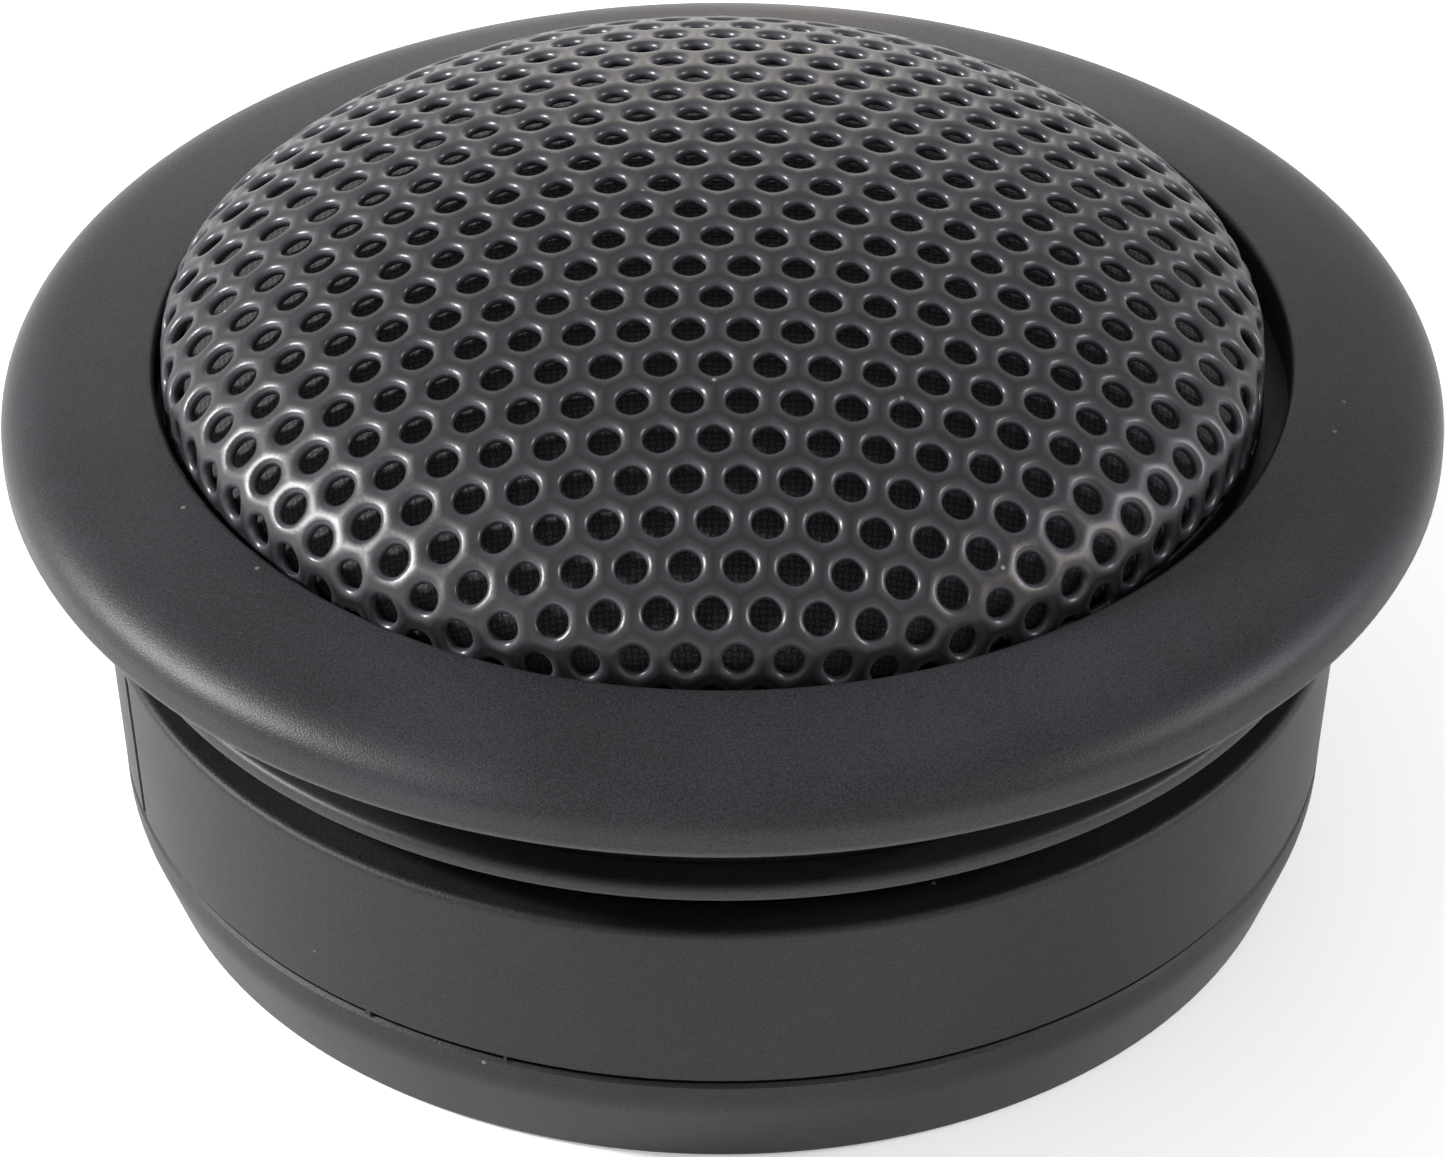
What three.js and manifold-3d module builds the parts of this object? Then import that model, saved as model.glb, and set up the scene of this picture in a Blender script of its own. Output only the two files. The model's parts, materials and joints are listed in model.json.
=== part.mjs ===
// Car tweeter: a soft dome driver in a flanged head that twists into a surface-mount cup.
// Millimetres, +Z up. The origin is the centre of the cup's flat base.
import * as THREE from "three";
import { mergeVertices } from "three/addons/utils/BufferGeometryUtils.js";
import Module from "manifold-3d";

const wasm = await Module();
wasm.setup();

// Clearances between pieces
const CLEARANCE = 0.3;
const SEAM_GAP = 0.12;
const TWIST_PLAY = 0.2;

// Driver: voice coil, magnet system and diaphragm
const COIL_FORMER_RADIUS = 12.35;
const COIL_FORMER_WALL = 0.2;
const COIL_FORMER_LENGTH = 4.3;
const COIL_BUILD = 0.4;
const COIL_LENGTH = 2.5;
const COIL_GLUE_LINE = 0.1;
const POLE_GAP = 0.25;
const POLE_PLATE_THICKNESS = 2;
const MAGNET_UNDERSIZE = 0.9;
const MAGNET_THICKNESS = 3.5;
const YOKE_WALL = 1.85;
const YOKE_FLOOR = 2.2;
const YOKE_VENT_RADIUS = 1.5;
const FELT_RADIUS = 8.5;
const FELT_THICKNESS = 1;
const DOME_HEIGHT = 4.2;
const DOME_WALL = 0.3;
const DOME_STANDOFF = 0.4;
const DOME_OVERLAP = 0.2;
const SURROUND_ROLL = 0.9;
const SURROUND_WALL = 0.25;
const SURROUND_LAND = 0.5;
const TRAVEL = 0.4;
const TINSEL_RADIUS = 0.2;

// Faceplate, terminals and their screws
const FACEPLATE_THICKNESS = 1.6;
const FACEPLATE_SETBACK = 0.15;
const FACEPLATE_MARGIN = 1.5;
const LEDGE_TO_YOKE = 0.6;
const SCREW_SHANK_RADIUS = 0.85;
const SCREW_HEAD_RADIUS = 1.6;
const SCREW_HEAD_HEIGHT = 1;
const SCREW_SLOT = 0.4;
const SCREW_REACH = 2.1;
const SCREW_LAND = 1.7;
const SCREW_COUNT = 3;
const FRONT_SCREW_ANGLE = 90;
const REAR_SCREW_ANGLE = 30;
const TERMINAL_ANGLE = 11;
const TERMINAL_WIDTH = 1.8;
const TERMINAL_THICKNESS = 0.5;
const TERMINAL_TAB = 1.5;
const TERMINAL_TAIL = 1;

// Head: barrel, neck, flange and recess for the grille
const BARREL_WALL = 1.5;
const LEDGE_THICKNESS = 2.4;
const LUG_REACH = 1.05;
const LUG_WIDTH = 26;
const LUG_HEIGHT = 1.4;
const LEDGE_CATCH = 1.2;
const LEDGE_BELOW_RIM = 0.85;
const STOP_WIDTH = 4;
const STOP_PLAY = 1;
const BAYONETS = 3;
const NECK_LAND = 0.35;
const NECK_EXPOSED = 6.05;
const LEDGE_BELOW_FLANGE = 3.1;
const NECK_RING_HEIGHT = 0.7;
const NECK_RING_REACH = 1.4;
const NECK_RING_LIFT = 1.5;
const FLANGE_OVERHANG = 5.2;
const FLANGE_THICKNESS = 3.4;
const FLANGE_EDGE_ROUND = 0.6;
const FLANGE_SIDE_TOP = 1.1;
const FLANGE_SHOULDER = 2.3;
const FLANGE_SHOULDER_RISE = 0.75;
const FLANGE_SLOPE = 0.18;
const RECESS_INSET = 0.7;
const RECESS_DEPTH = 2.1;
const RECESS_EDGE_BREAK = 0.2;

// Grille, its cloth and the hoop that holds the cloth
const GRILLE_SIDE_GAP = 0.6;
const GRILLE_OFFSET = -0.37;
const GRILLE_RISE = 6.9;
const GRILLE_ABOVE_FLANGE = 0.85;
const GRILLE_WALL = 0.5;
const GRILLE_FLOOR_GAP = 0.2;
const GRILLE_FLATNESS = 2.04;
const GRILLE_SHOULDER = 1.45;
const CLOTH_WALL = 0.25;
const HOOP_WALL = 0.6;
const HOOP_HEIGHT = 1.2;

// Cup: base, sleeve, lead bush and fixing holes
const FLOOR_THICKNESS = 1.6;
const CAVITY_HEIGHT = 4.3;
const SEAM_HEIGHT = 4.5;
const SEAM_CHAMFER = 0.18;
const SLEEVE_WALL = 1.5;
const SLEEVE_FLARE = 0.5;
const RIM_ROUND = 0.4;
const BASE_TAPER = 1.3;
const BASE_ROUND = 0.35;
const BASE_KNUCKLE = 1.6;
const BASE_KNUCKLE_INSET = 0.15;
const SPIGOT_HEIGHT = 2.2;
const FIXING_SPACING = 18;
const FIXING_RADIUS = 1.8;
const FIXING_SINK_RADIUS = 3.3;
const BUSH_DISTANCE = 12.5;
const BUSH_HOLE_RADIUS = 3.2;
const BUSH_BORE_RADIUS = 1.5;
const BUSH_COLLAR = 1.4;
const BUSH_COLLAR_HEIGHT = 0.8;

// Rear cover and the high-pass capacitor under it
const COVER_THICKNESS = 1.1;
const CAPACITOR_LENGTH = 12;
const CAPACITOR_WIDTH = 7;
const CAPACITOR_HEIGHT = 3.5;
const CAPACITOR_ROUND = 0.8;
const CAPACITOR_LEAD_RADIUS = 0.35;
const SUPPLY_PIN_LENGTH = 4;
const LEAD_HOLE_RADIUS = 1;

// Facets
const FACETS = 48;
const INNER_FACETS = 32;
const SMALL_FACETS = 16;
const WIRE_SIDES = 8;
const CURVE_STEPS = 4;
const DOME_STEPS = 8;

// Radii, from the voice coil outwards
const coilInner = COIL_FORMER_RADIUS + COIL_GLUE_LINE;
const coilOuter = coilInner + COIL_BUILD;
const poleRadius = COIL_FORMER_RADIUS - COIL_FORMER_WALL - POLE_GAP;
const yokeBore = coilOuter + CLEARANCE;
const yokeRadius = yokeBore + YOKE_WALL;
const domeRadius = COIL_FORMER_RADIUS + DOME_OVERLAP;
const faceplateBore = yokeBore + FACEPLATE_SETBACK;
const ledgeBore = yokeRadius + LEDGE_TO_YOKE;
const screwCircle = ledgeBore + SCREW_LAND;
const faceplateRadius = screwCircle + FACEPLATE_MARGIN;
const barrelBore = faceplateRadius + CLEARANCE;
const barrelRadius = barrelBore + BARREL_WALL;
const lugRadius = barrelRadius + LUG_REACH;
const catchRadius = barrelRadius + CLEARANCE;
const sleeveBore = lugRadius + CLEARANCE;
const seamRadius = sleeveBore + SLEEVE_WALL;
const baseRadius = seamRadius - BASE_TAPER;
const rimRadius = seamRadius + SLEEVE_FLARE;
const neckRadius = sleeveBore + NECK_LAND;
const flangeRadius = neckRadius + FLANGE_OVERHANG;
const recessRadius = neckRadius - RECESS_INSET;
const grilleRadius = recessRadius - GRILLE_SIDE_GAP;
const clothRadius = grilleRadius - GRILLE_WALL - CLEARANCE;
const hoopRadius = clothRadius - CLOTH_WALL - CLEARANCE;

// Heights, from the base upwards
const barrelBottom = FLOOR_THICKNESS + CAVITY_HEIGHT;
const coverTop = barrelBottom + COVER_THICKNESS;
const yokeBottom = coverTop + CLEARANCE;
const magnetBottom = yokeBottom + YOKE_FLOOR;
const poleBottom = magnetBottom + MAGNET_THICKNESS;
const ledgeTop = poleBottom + POLE_PLATE_THICKNESS;
const faceplateTop = ledgeTop + FACEPLATE_THICKNESS;
const flangeUnderside = ledgeTop + LEDGE_BELOW_FLANGE;
const cupHeight = flangeUnderside - NECK_EXPOSED;
const flangeTop = flangeUnderside + FLANGE_THICKNESS;
const recessFloor = flangeTop - RECESS_DEPTH;
const grilleBottom = recessFloor + GRILLE_FLOOR_GAP;
const grilleApex = flangeTop + GRILLE_ABOVE_FLANGE + GRILLE_RISE;
const catchBottom = cupHeight - LEDGE_BELOW_RIM - LEDGE_CATCH;
const lugTop = catchBottom - CLEARANCE;
const lugBottom = lugTop - LUG_HEIGHT;
const domeBase = faceplateTop + DOME_STANDOFF;
const formerTop = domeBase - CLEARANCE;

const finishes = {
  moulded: { color: "#3d3d40", roughness: 0.62, metalness: 0 },
  cupPlastic: { color: "#3b3a39", roughness: 0.68, metalness: 0 },
  rubber: { color: "#1f1e20", roughness: 0.8, metalness: 0 },
  grilleSteel: { color: "#3a3a3d", roughness: 0.4, metalness: 0.6 },
  cloth: { color: "#151515", roughness: 0.95, metalness: 0 },
  silk: { color: "#26231f", roughness: 0.75, metalness: 0 },
  steel: { color: "#b4b6b8", roughness: 0.35, metalness: 1 },
  magnet: { color: "#c9cacb", roughness: 0.25, metalness: 1 },
  felt: { color: "#4a4a4c", roughness: 1, metalness: 0 },
  copper: { color: "#b8673a", roughness: 0.35, metalness: 1 },
  aluminium: { color: "#c4c6c8", roughness: 0.4, metalness: 1 },
  brass: { color: "#c2a35a", roughness: 0.35, metalness: 1 },
  capacitorCase: { color: "#8c2f22", roughness: 0.4, metalness: 0 },
};

const car_tweeter = new THREE.Group();

// Solids and geometry

function solidOf(geometry) {
  const bare = geometry.clone();
  bare.deleteAttribute("normal");
  bare.deleteAttribute("uv");
  const merged = mergeVertices(bare, 1e-4);
  const mesh = new wasm.Mesh({
    numProp: 3,
    vertProperties: merged.attributes.position.array,
    triVerts: new Uint32Array(merged.index.array),
  });
  return new wasm.Manifold(mesh);
}

function geometryOf(solid) {
  const { vertProperties, triVerts } = solid.getMesh();
  const indexed = new THREE.BufferGeometry();
  indexed.setAttribute("position", new THREE.BufferAttribute(vertProperties, 3));
  indexed.setIndex(new THREE.BufferAttribute(triVerts, 1));
  const faceted = indexed.toNonIndexed();
  faceted.computeVertexNormals();
  return faceted;
}

function turned(outline, facets = FACETS) {
  const points = outline.getPoints(CURVE_STEPS);
  const geometry = new THREE.LatheGeometry(points, facets);
  return geometry.rotateX(Math.PI / 2);
}

function polygon(corners) {
  const outline = new THREE.Path();
  outline.setFromPoints(corners.map(([r, z]) => new THREE.Vector2(r, z)));
  return outline;
}

function ring(inner, outer, low, high, facets = FACETS) {
  const corners = [[inner, low], [outer, low], [outer, high], [inner, high], [inner, low]];
  return turned(polygon(corners), facets);
}

function disc(radius, low, high, facets = INNER_FACETS) {
  return turned(polygon([[0, low], [radius, low], [radius, high], [0, high]]), facets);
}

function post(x, y, radius, low, high, facets = SMALL_FACETS) {
  return disc(radius, low, high, facets).translate(x, y, 0);
}

function block(width, depth, low, high, x = 0, y = 0) {
  const geometry = new THREE.BoxGeometry(width, depth, high - low);
  return geometry.translate(x, y, (low + high) / 2);
}

function sector(inner, outer, centre, width, low, high) {
  const from = THREE.MathUtils.degToRad(centre - width / 2);
  const to = THREE.MathUtils.degToRad(centre + width / 2);
  const shape = new THREE.Shape();
  shape.absarc(0, 0, outer, from, to, false);
  shape.absarc(0, 0, inner, to, from, true);
  const options = { depth: high - low, bevelEnabled: false, curveSegments: CURVE_STEPS };
  return new THREE.ExtrudeGeometry(shape, options).translate(0, 0, low);
}

function wire(points, radius, steps) {
  const route = new THREE.CatmullRomCurve3(points.map((point) => new THREE.Vector3(...point)));
  const section = new THREE.Shape();
  section.absarc(0, 0, radius, 0, 2 * Math.PI, false);
  const options = { steps, extrudePath: route, curveSegments: WIRE_SIDES / 2 };
  return new THREE.ExtrudeGeometry(section, options);
}

function joined(first, ...others) {
  return others.reduce((solid, other) => solid.add(solidOf(other)), solidOf(first));
}

function pierced(solid, ...cutters) {
  return cutters.reduce((rest, cutter) => rest.subtract(solidOf(cutter)), solid);
}

function onCircle(radius, degrees) {
  const angle = THREE.MathUtils.degToRad(degrees);
  return [radius * Math.cos(angle), radius * Math.sin(angle)];
}

function around(count, firstAngle) {
  return Array.from({ length: count }, (_, i) => firstAngle + (i * 360) / count);
}

function addPiece(name, finish, geometry, x = 0) {
  const material = new THREE.MeshStandardMaterial(finishes[finish]);
  const mesh = new THREE.Mesh(geometry, material);
  mesh.name = name;
  mesh.position.x = x;
  car_tweeter.add(mesh);
}

// Cup

function baseCup() {
  const spigotTop = SEAM_HEIGHT + SPIGOT_HEIGHT;
  const spigotRadius = sleeveBore - CLEARANCE;
  const outline = new THREE.Path();
  outline.moveTo(0, 0);
  outline.lineTo(baseRadius - BASE_ROUND, 0);
  outline.quadraticCurveTo(baseRadius, 0, baseRadius + BASE_ROUND / 3, BASE_ROUND);
  outline.lineTo(seamRadius - BASE_KNUCKLE_INSET, SEAM_HEIGHT - BASE_KNUCKLE);
  outline.quadraticCurveTo(
    seamRadius, SEAM_HEIGHT - BASE_KNUCKLE / 2, seamRadius, SEAM_HEIGHT - SEAM_CHAMFER,
  );
  outline.lineTo(seamRadius - SEAM_CHAMFER, SEAM_HEIGHT);
  outline.lineTo(spigotRadius, SEAM_HEIGHT);
  outline.lineTo(spigotRadius, spigotTop);
  outline.lineTo(catchRadius, spigotTop);
  outline.lineTo(catchRadius, FLOOR_THICKNESS);
  outline.lineTo(0, FLOOR_THICKNESS);
  const overcut = 1;
  const cuts = [post(0, BUSH_DISTANCE, BUSH_HOLE_RADIUS, -overcut, FLOOR_THICKNESS + overcut)];
  for (const x of [-FIXING_SPACING / 2, FIXING_SPACING / 2]) {
    cuts.push(post(x, 0, FIXING_RADIUS, -overcut, FLOOR_THICKNESS + overcut));
    cuts.push(post(x, 0, FIXING_SINK_RADIUS, FLOOR_THICKNESS / 2, FLOOR_THICKNESS + overcut));
  }
  return geometryOf(pierced(solidOf(turned(outline)), ...cuts));
}

function cupSleeve() {
  const bottom = SEAM_HEIGHT + SEAM_GAP;
  const outline = new THREE.Path();
  outline.moveTo(sleeveBore, bottom);
  outline.lineTo(seamRadius - SEAM_CHAMFER, bottom);
  outline.lineTo(seamRadius, bottom + SEAM_CHAMFER);
  outline.lineTo(rimRadius, cupHeight - RIM_ROUND);
  outline.quadraticCurveTo(rimRadius, cupHeight, rimRadius - RIM_ROUND, cupHeight);
  outline.lineTo(sleeveBore, cupHeight);
  outline.closePath();
  const embedded = sleeveBore + SLEEVE_WALL / 2;
  const catches = around(BAYONETS, 0).flatMap((angle) => {
    const stopAngle = angle - LUG_WIDTH / 2 - STOP_PLAY - STOP_WIDTH / 2;
    const catchTop = catchBottom + LEDGE_CATCH;
    return [
      sector(catchRadius, embedded, angle, LUG_WIDTH, catchBottom, catchTop),
      sector(catchRadius, embedded, stopAngle, STOP_WIDTH, lugBottom, catchTop),
    ];
  });
  return geometryOf(joined(turned(outline), ...catches));
}

function leadBush() {
  const shaft = BUSH_HOLE_RADIUS - CLEARANCE;
  const collarBottom = FLOOR_THICKNESS + CLEARANCE;
  const collarTop = collarBottom + BUSH_COLLAR_HEIGHT;
  const corners = [
    [BUSH_BORE_RADIUS, CLEARANCE],
    [shaft, CLEARANCE],
    [shaft, collarBottom],
    [shaft + BUSH_COLLAR, collarBottom],
    [shaft + BUSH_COLLAR, collarTop],
    [BUSH_BORE_RADIUS, collarTop],
    [BUSH_BORE_RADIUS, CLEARANCE],
  ];
  return turned(polygon(corners), SMALL_FACETS).translate(0, BUSH_DISTANCE, 0);
}

// Head

function bezelOutline() {
  const neckBottom = cupHeight + TWIST_PLAY;
  const sideTop = flangeUnderside + FLANGE_SIDE_TOP;
  const shoulderRadius = flangeRadius - FLANGE_SHOULDER;
  const topInner = recessRadius + RECESS_EDGE_BREAK;
  const shoulderTop = flangeTop - FLANGE_SLOPE * (shoulderRadius - topInner);
  const control = 0.6 * FLANGE_SHOULDER;
  const outline = new THREE.Path();
  outline.moveTo(barrelBore, barrelBottom);
  outline.lineTo(barrelRadius, barrelBottom);
  outline.lineTo(barrelRadius, neckBottom);
  outline.lineTo(neckRadius, neckBottom);
  outline.lineTo(neckRadius, flangeUnderside);
  outline.lineTo(flangeRadius - FLANGE_EDGE_ROUND, flangeUnderside);
  outline.quadraticCurveTo(
    flangeRadius, flangeUnderside, flangeRadius, flangeUnderside + FLANGE_EDGE_ROUND,
  );
  outline.lineTo(flangeRadius, sideTop);
  outline.bezierCurveTo(
    flangeRadius, sideTop + FLANGE_SHOULDER_RISE,
    shoulderRadius + control, shoulderTop - FLANGE_SLOPE * control,
    shoulderRadius, shoulderTop,
  );
  outline.lineTo(topInner, flangeTop);
  outline.lineTo(recessRadius, flangeTop - RECESS_EDGE_BREAK);
  outline.lineTo(recessRadius, recessFloor);
  outline.lineTo(barrelBore, recessFloor);
  outline.lineTo(barrelBore, ledgeTop);
  outline.lineTo(ledgeBore, ledgeTop);
  outline.lineTo(ledgeBore, ledgeTop - LEDGE_THICKNESS);
  outline.lineTo(barrelBore, ledgeTop - LEDGE_THICKNESS);
  outline.closePath();
  return outline;
}

function terminalSlot(side, low, high) {
  const width = TERMINAL_WIDTH + 2 * CLEARANCE;
  const depth = TERMINAL_THICKNESS + 3 * CLEARANCE;
  const slot = block(depth, width, low, high, screwCircle);
  return slot.rotateZ(THREE.MathUtils.degToRad(side * TERMINAL_ANGLE));
}

function screwHoles(firstAngle, low, high) {
  return around(SCREW_COUNT, firstAngle).map((angle) => {
    const [x, y] = onCircle(screwCircle, angle);
    return post(x, y, SCREW_SHANK_RADIUS + CLEARANCE, low, high);
  });
}

function bezel() {
  const embedded = barrelRadius - BARREL_WALL / 2;
  const lugs = around(BAYONETS, 0).map((angle) =>
    sector(embedded, lugRadius, angle, LUG_WIDTH, lugBottom, lugTop),
  );
  const ledgeBottom = ledgeTop - LEDGE_THICKNESS;
  const bosses = around(SCREW_COUNT, REAR_SCREW_ANGLE).map((angle) => {
    const [x, y] = onCircle(screwCircle, angle);
    const bossRadius = barrelBore - screwCircle + CLEARANCE;
    return post(x, y, bossRadius, coverTop, ledgeBottom + LEDGE_THICKNESS / 2);
  });
  const body = joined(turned(bezelOutline()), ...lugs, ...bosses);
  const frontDepth = ledgeTop - SCREW_REACH;
  const rearDepth = coverTop + SCREW_REACH;
  const cuts = [
    ...screwHoles(FRONT_SCREW_ANGLE, frontDepth, ledgeTop + CLEARANCE),
    ...screwHoles(REAR_SCREW_ANGLE, coverTop - CLEARANCE, rearDepth),
    terminalSlot(1, ledgeBottom - 1, ledgeTop + 1),
    terminalSlot(-1, ledgeBottom - 1, ledgeTop + 1),
  ];
  return geometryOf(pierced(body, ...cuts));
}

function neckRing() {
  const bottom = cupHeight + NECK_RING_LIFT;
  const top = bottom + NECK_RING_HEIGHT;
  const outer = neckRadius + CLEARANCE + NECK_RING_REACH;
  const round = NECK_RING_HEIGHT / 2;
  const outline = new THREE.Path();
  outline.moveTo(neckRadius + CLEARANCE, bottom);
  outline.lineTo(outer - round, bottom);
  outline.absarc(outer - round, bottom + round, round, -Math.PI / 2, Math.PI / 2, false);
  outline.lineTo(neckRadius + CLEARANCE, top);
  outline.closePath();
  return turned(outline);
}

// A shell whose crown is flat in the middle and steep at its edge, on a straight skirt.
function crownedShell(radius, wall, apex, bottom, facets, steps) {
  const spring = apex - GRILLE_RISE;
  const crown = (r, top) => {
    const points = [];
    for (let i = 0; i <= steps; i++) {
      const share = Math.sin((i * Math.PI) / (2 * steps));
      const fall = (1 - share ** GRILLE_FLATNESS) ** (1 / GRILLE_SHOULDER);
      points.push([r * share, spring + (top - spring) * (i === steps ? 0 : fall)]);
    }
    return points;
  };
  const inside = crown(radius - wall, apex - wall);
  const outside = crown(radius, apex).reverse();
  const corners = [...inside, [radius - wall, bottom], [radius, bottom], ...outside];
  return turned(polygon(corners), facets);
}

function grille() {
  return crownedShell(grilleRadius, GRILLE_WALL, grilleApex, grilleBottom, FACETS, DOME_STEPS);
}

function grilleCloth() {
  const apex = grilleApex - GRILLE_WALL - CLEARANCE;
  return crownedShell(clothRadius, CLOTH_WALL, apex, grilleBottom, INNER_FACETS, DOME_STEPS - 2);
}

function clothHoop() {
  const top = grilleBottom + HOOP_HEIGHT;
  return ring(hoopRadius - HOOP_WALL, hoopRadius, grilleBottom, top, INNER_FACETS);
}

// Driver

function faceplate() {
  const plate = solidOf(ring(faceplateBore, faceplateRadius, ledgeTop, faceplateTop));
  const low = ledgeTop - 1;
  const high = faceplateTop + 1;
  const cuts = screwHoles(FRONT_SCREW_ANGLE, low, high);
  cuts.push(terminalSlot(1, low, high), terminalSlot(-1, low, high));
  return geometryOf(pierced(plate, ...cuts));
}

function yoke() {
  const corners = [
    [YOKE_VENT_RADIUS, yokeBottom],
    [yokeRadius, yokeBottom],
    [yokeRadius, ledgeTop],
    [yokeBore, ledgeTop],
    [yokeBore, magnetBottom],
    [YOKE_VENT_RADIUS, magnetBottom],
    [YOKE_VENT_RADIUS, yokeBottom],
  ];
  return turned(polygon(corners), INNER_FACETS);
}

function magnet() {
  return disc(poleRadius - MAGNET_UNDERSIZE, magnetBottom, poleBottom);
}

function polePlate() {
  return disc(poleRadius, poleBottom, ledgeTop);
}

function feltPad() {
  return disc(FELT_RADIUS, ledgeTop, ledgeTop + FELT_THICKNESS);
}

function surround() {
  const inner = domeRadius + CLEARANCE;
  const centre = inner + SURROUND_WALL + SURROUND_ROLL;
  const outerRoll = SURROUND_ROLL + SURROUND_WALL;
  const start = Math.asin(SURROUND_WALL / outerRoll);
  const edge = centre + SURROUND_ROLL + SURROUND_LAND;
  const outline = new THREE.Path();
  outline.moveTo(inner, faceplateTop);
  outline.lineTo(centre - SURROUND_ROLL, faceplateTop);
  outline.absarc(centre, faceplateTop, SURROUND_ROLL, Math.PI, 0, true);
  outline.lineTo(edge, faceplateTop);
  outline.lineTo(edge, faceplateTop + SURROUND_WALL);
  outline.absarc(centre, faceplateTop, outerRoll, start, Math.PI - start, false);
  outline.lineTo(inner, faceplateTop + SURROUND_WALL);
  outline.closePath();
  return turned(outline, INNER_FACETS);
}

function domeSphere() {
  return (domeRadius ** 2 + DOME_HEIGHT ** 2) / (2 * DOME_HEIGHT);
}

function softDome() {
  const sphere = domeSphere();
  const centre = domeBase + DOME_HEIGHT - sphere;
  const sweep = Math.asin(domeRadius / sphere);
  const cap = (radius) =>
    Array.from({ length: DOME_STEPS - 1 }, (_, i) => {
      const angle = (i * sweep) / (DOME_STEPS - 2);
      return [radius * Math.sin(angle), centre + radius * Math.cos(angle)];
    });
  const corners = [...cap(sphere - DOME_WALL), ...cap(sphere).reverse()];
  return turned(polygon(corners), INNER_FACETS);
}

function coilFormer() {
  const inner = COIL_FORMER_RADIUS - COIL_FORMER_WALL;
  return ring(inner, COIL_FORMER_RADIUS, formerTop - COIL_FORMER_LENGTH, formerTop, INNER_FACETS);
}

function voiceCoil() {
  const middle = ledgeTop - POLE_PLATE_THICKNESS / 2;
  const low = middle - COIL_LENGTH / 2;
  return ring(coilInner, coilOuter, low, low + COIL_LENGTH, INNER_FACETS);
}

function terminal(side) {
  const bladeTop = faceplateTop + TERMINAL_THICKNESS;
  const tail = coverTop + TERMINAL_TAIL;
  const blade = block(TERMINAL_THICKNESS, TERMINAL_WIDTH, tail, bladeTop, screwCircle);
  const tabCentre = screwCircle - TERMINAL_TAB / 2;
  const tab = block(TERMINAL_TAB, TERMINAL_WIDTH, faceplateTop, bladeTop, tabCentre);
  const turn = THREE.MathUtils.degToRad(side * TERMINAL_ANGLE);
  return geometryOf(joined(blade, tab)).rotateZ(turn);
}

// A lead from the edge of the dome over the surround to its terminal's tab.
function tinselLead(side) {
  const start = domeRadius - CLEARANCE;
  const end = screwCircle - TERMINAL_TAB / 2;
  const crest = faceplateTop + SURROUND_ROLL + SURROUND_WALL + 1;
  const tabTop = faceplateTop + TERMINAL_THICKNESS;
  const domeClear = domeBase + CLEARANCE + TRAVEL + 2 * TINSEL_RADIUS;
  const route = [
    [start, 0, domeClear],
    [start + 0.3 * (end - start), 0, crest],
    [start + 0.65 * (end - start), 0, crest],
    [end - 0.1, 0, tabTop + 1.2],
    [end, 0, tabTop + CLEARANCE],
  ];
  const lead = wire(route, TINSEL_RADIUS, 14);
  return lead.rotateZ(THREE.MathUtils.degToRad(side * TERMINAL_ANGLE));
}

// A slotted screw from its head's seat into the bezel; direction is +1 from the front, -1 from behind.
function screw(angle, seat, entry, direction) {
  const [x, y] = onCircle(screwCircle, angle);
  const headEnd = seat + direction * SCREW_HEAD_HEIGHT;
  const headMiddle = (seat + headEnd) / 2;
  const tip = entry - direction * (SCREW_REACH - CLEARANCE);
  const slotFloor = headEnd - direction * SCREW_SLOT;
  const span = (a, b) => [Math.min(a, b), Math.max(a, b)];
  const head = post(x, y, SCREW_HEAD_RADIUS, ...span(seat, headEnd));
  const shank = post(x, y, SCREW_SHANK_RADIUS, ...span(headMiddle, tip), WIRE_SIDES);
  const slotSpan = span(slotFloor, headEnd + direction);
  const slot = block(3 * SCREW_HEAD_RADIUS, SCREW_SLOT, ...slotSpan, x, y);
  return geometryOf(pierced(joined(head, shank), slot));
}

function rearCover() {
  const plate = solidOf(disc(barrelBore - CLEARANCE, barrelBottom, coverTop, FACETS));
  const low = barrelBottom - 1;
  const high = coverTop + 1;
  const [x, y] = onCircle(screwCircle, TERMINAL_ANGLE);
  const leadHole = post(x, y, LEAD_HOLE_RADIUS, low, high);
  return geometryOf(pierced(plate, leadHole, ...screwHoles(REAR_SCREW_ANGLE, low, high)));
}

function capacitor() {
  const bottom = barrelBottom - CAPACITOR_HEIGHT;
  const round = CAPACITOR_ROUND;
  const x = CAPACITOR_LENGTH / 2;
  const y = CAPACITOR_WIDTH / 2;
  const outline = new THREE.Shape();
  outline.absarc(x - round, y - round, round, 0, Math.PI / 2, false);
  outline.absarc(round - x, y - round, round, Math.PI / 2, Math.PI, false);
  outline.absarc(round - x, round - y, round, Math.PI, 1.5 * Math.PI, false);
  outline.absarc(x - round, round - y, round, 1.5 * Math.PI, 2 * Math.PI, false);
  const options = { depth: CAPACITOR_HEIGHT, bevelEnabled: false, curveSegments: CURVE_STEPS };
  return new THREE.ExtrudeGeometry(outline, options).translate(0, 0, bottom);
}

// The lead that goes up through the rear cover to the first terminal.
function terminalLead() {
  const level = barrelBottom - CAPACITOR_HEIGHT / 2;
  const start = CAPACITOR_LENGTH / 2 + CLEARANCE;
  const [x, y] = onCircle(screwCircle, TERMINAL_ANGLE);
  const route = [
    [start, 0, level],
    [start + 0.3 * (x - start), 0.2 * y, level],
    [start + 0.75 * (x - start), 0.7 * y, level],
    [x - 0.2, y, level + 0.6],
    [x, y, barrelBottom],
    [x, y, coverTop + TERMINAL_TAIL - CLEARANCE],
  ];
  return wire(route, CAPACITOR_LEAD_RADIUS, 16);
}

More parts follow.
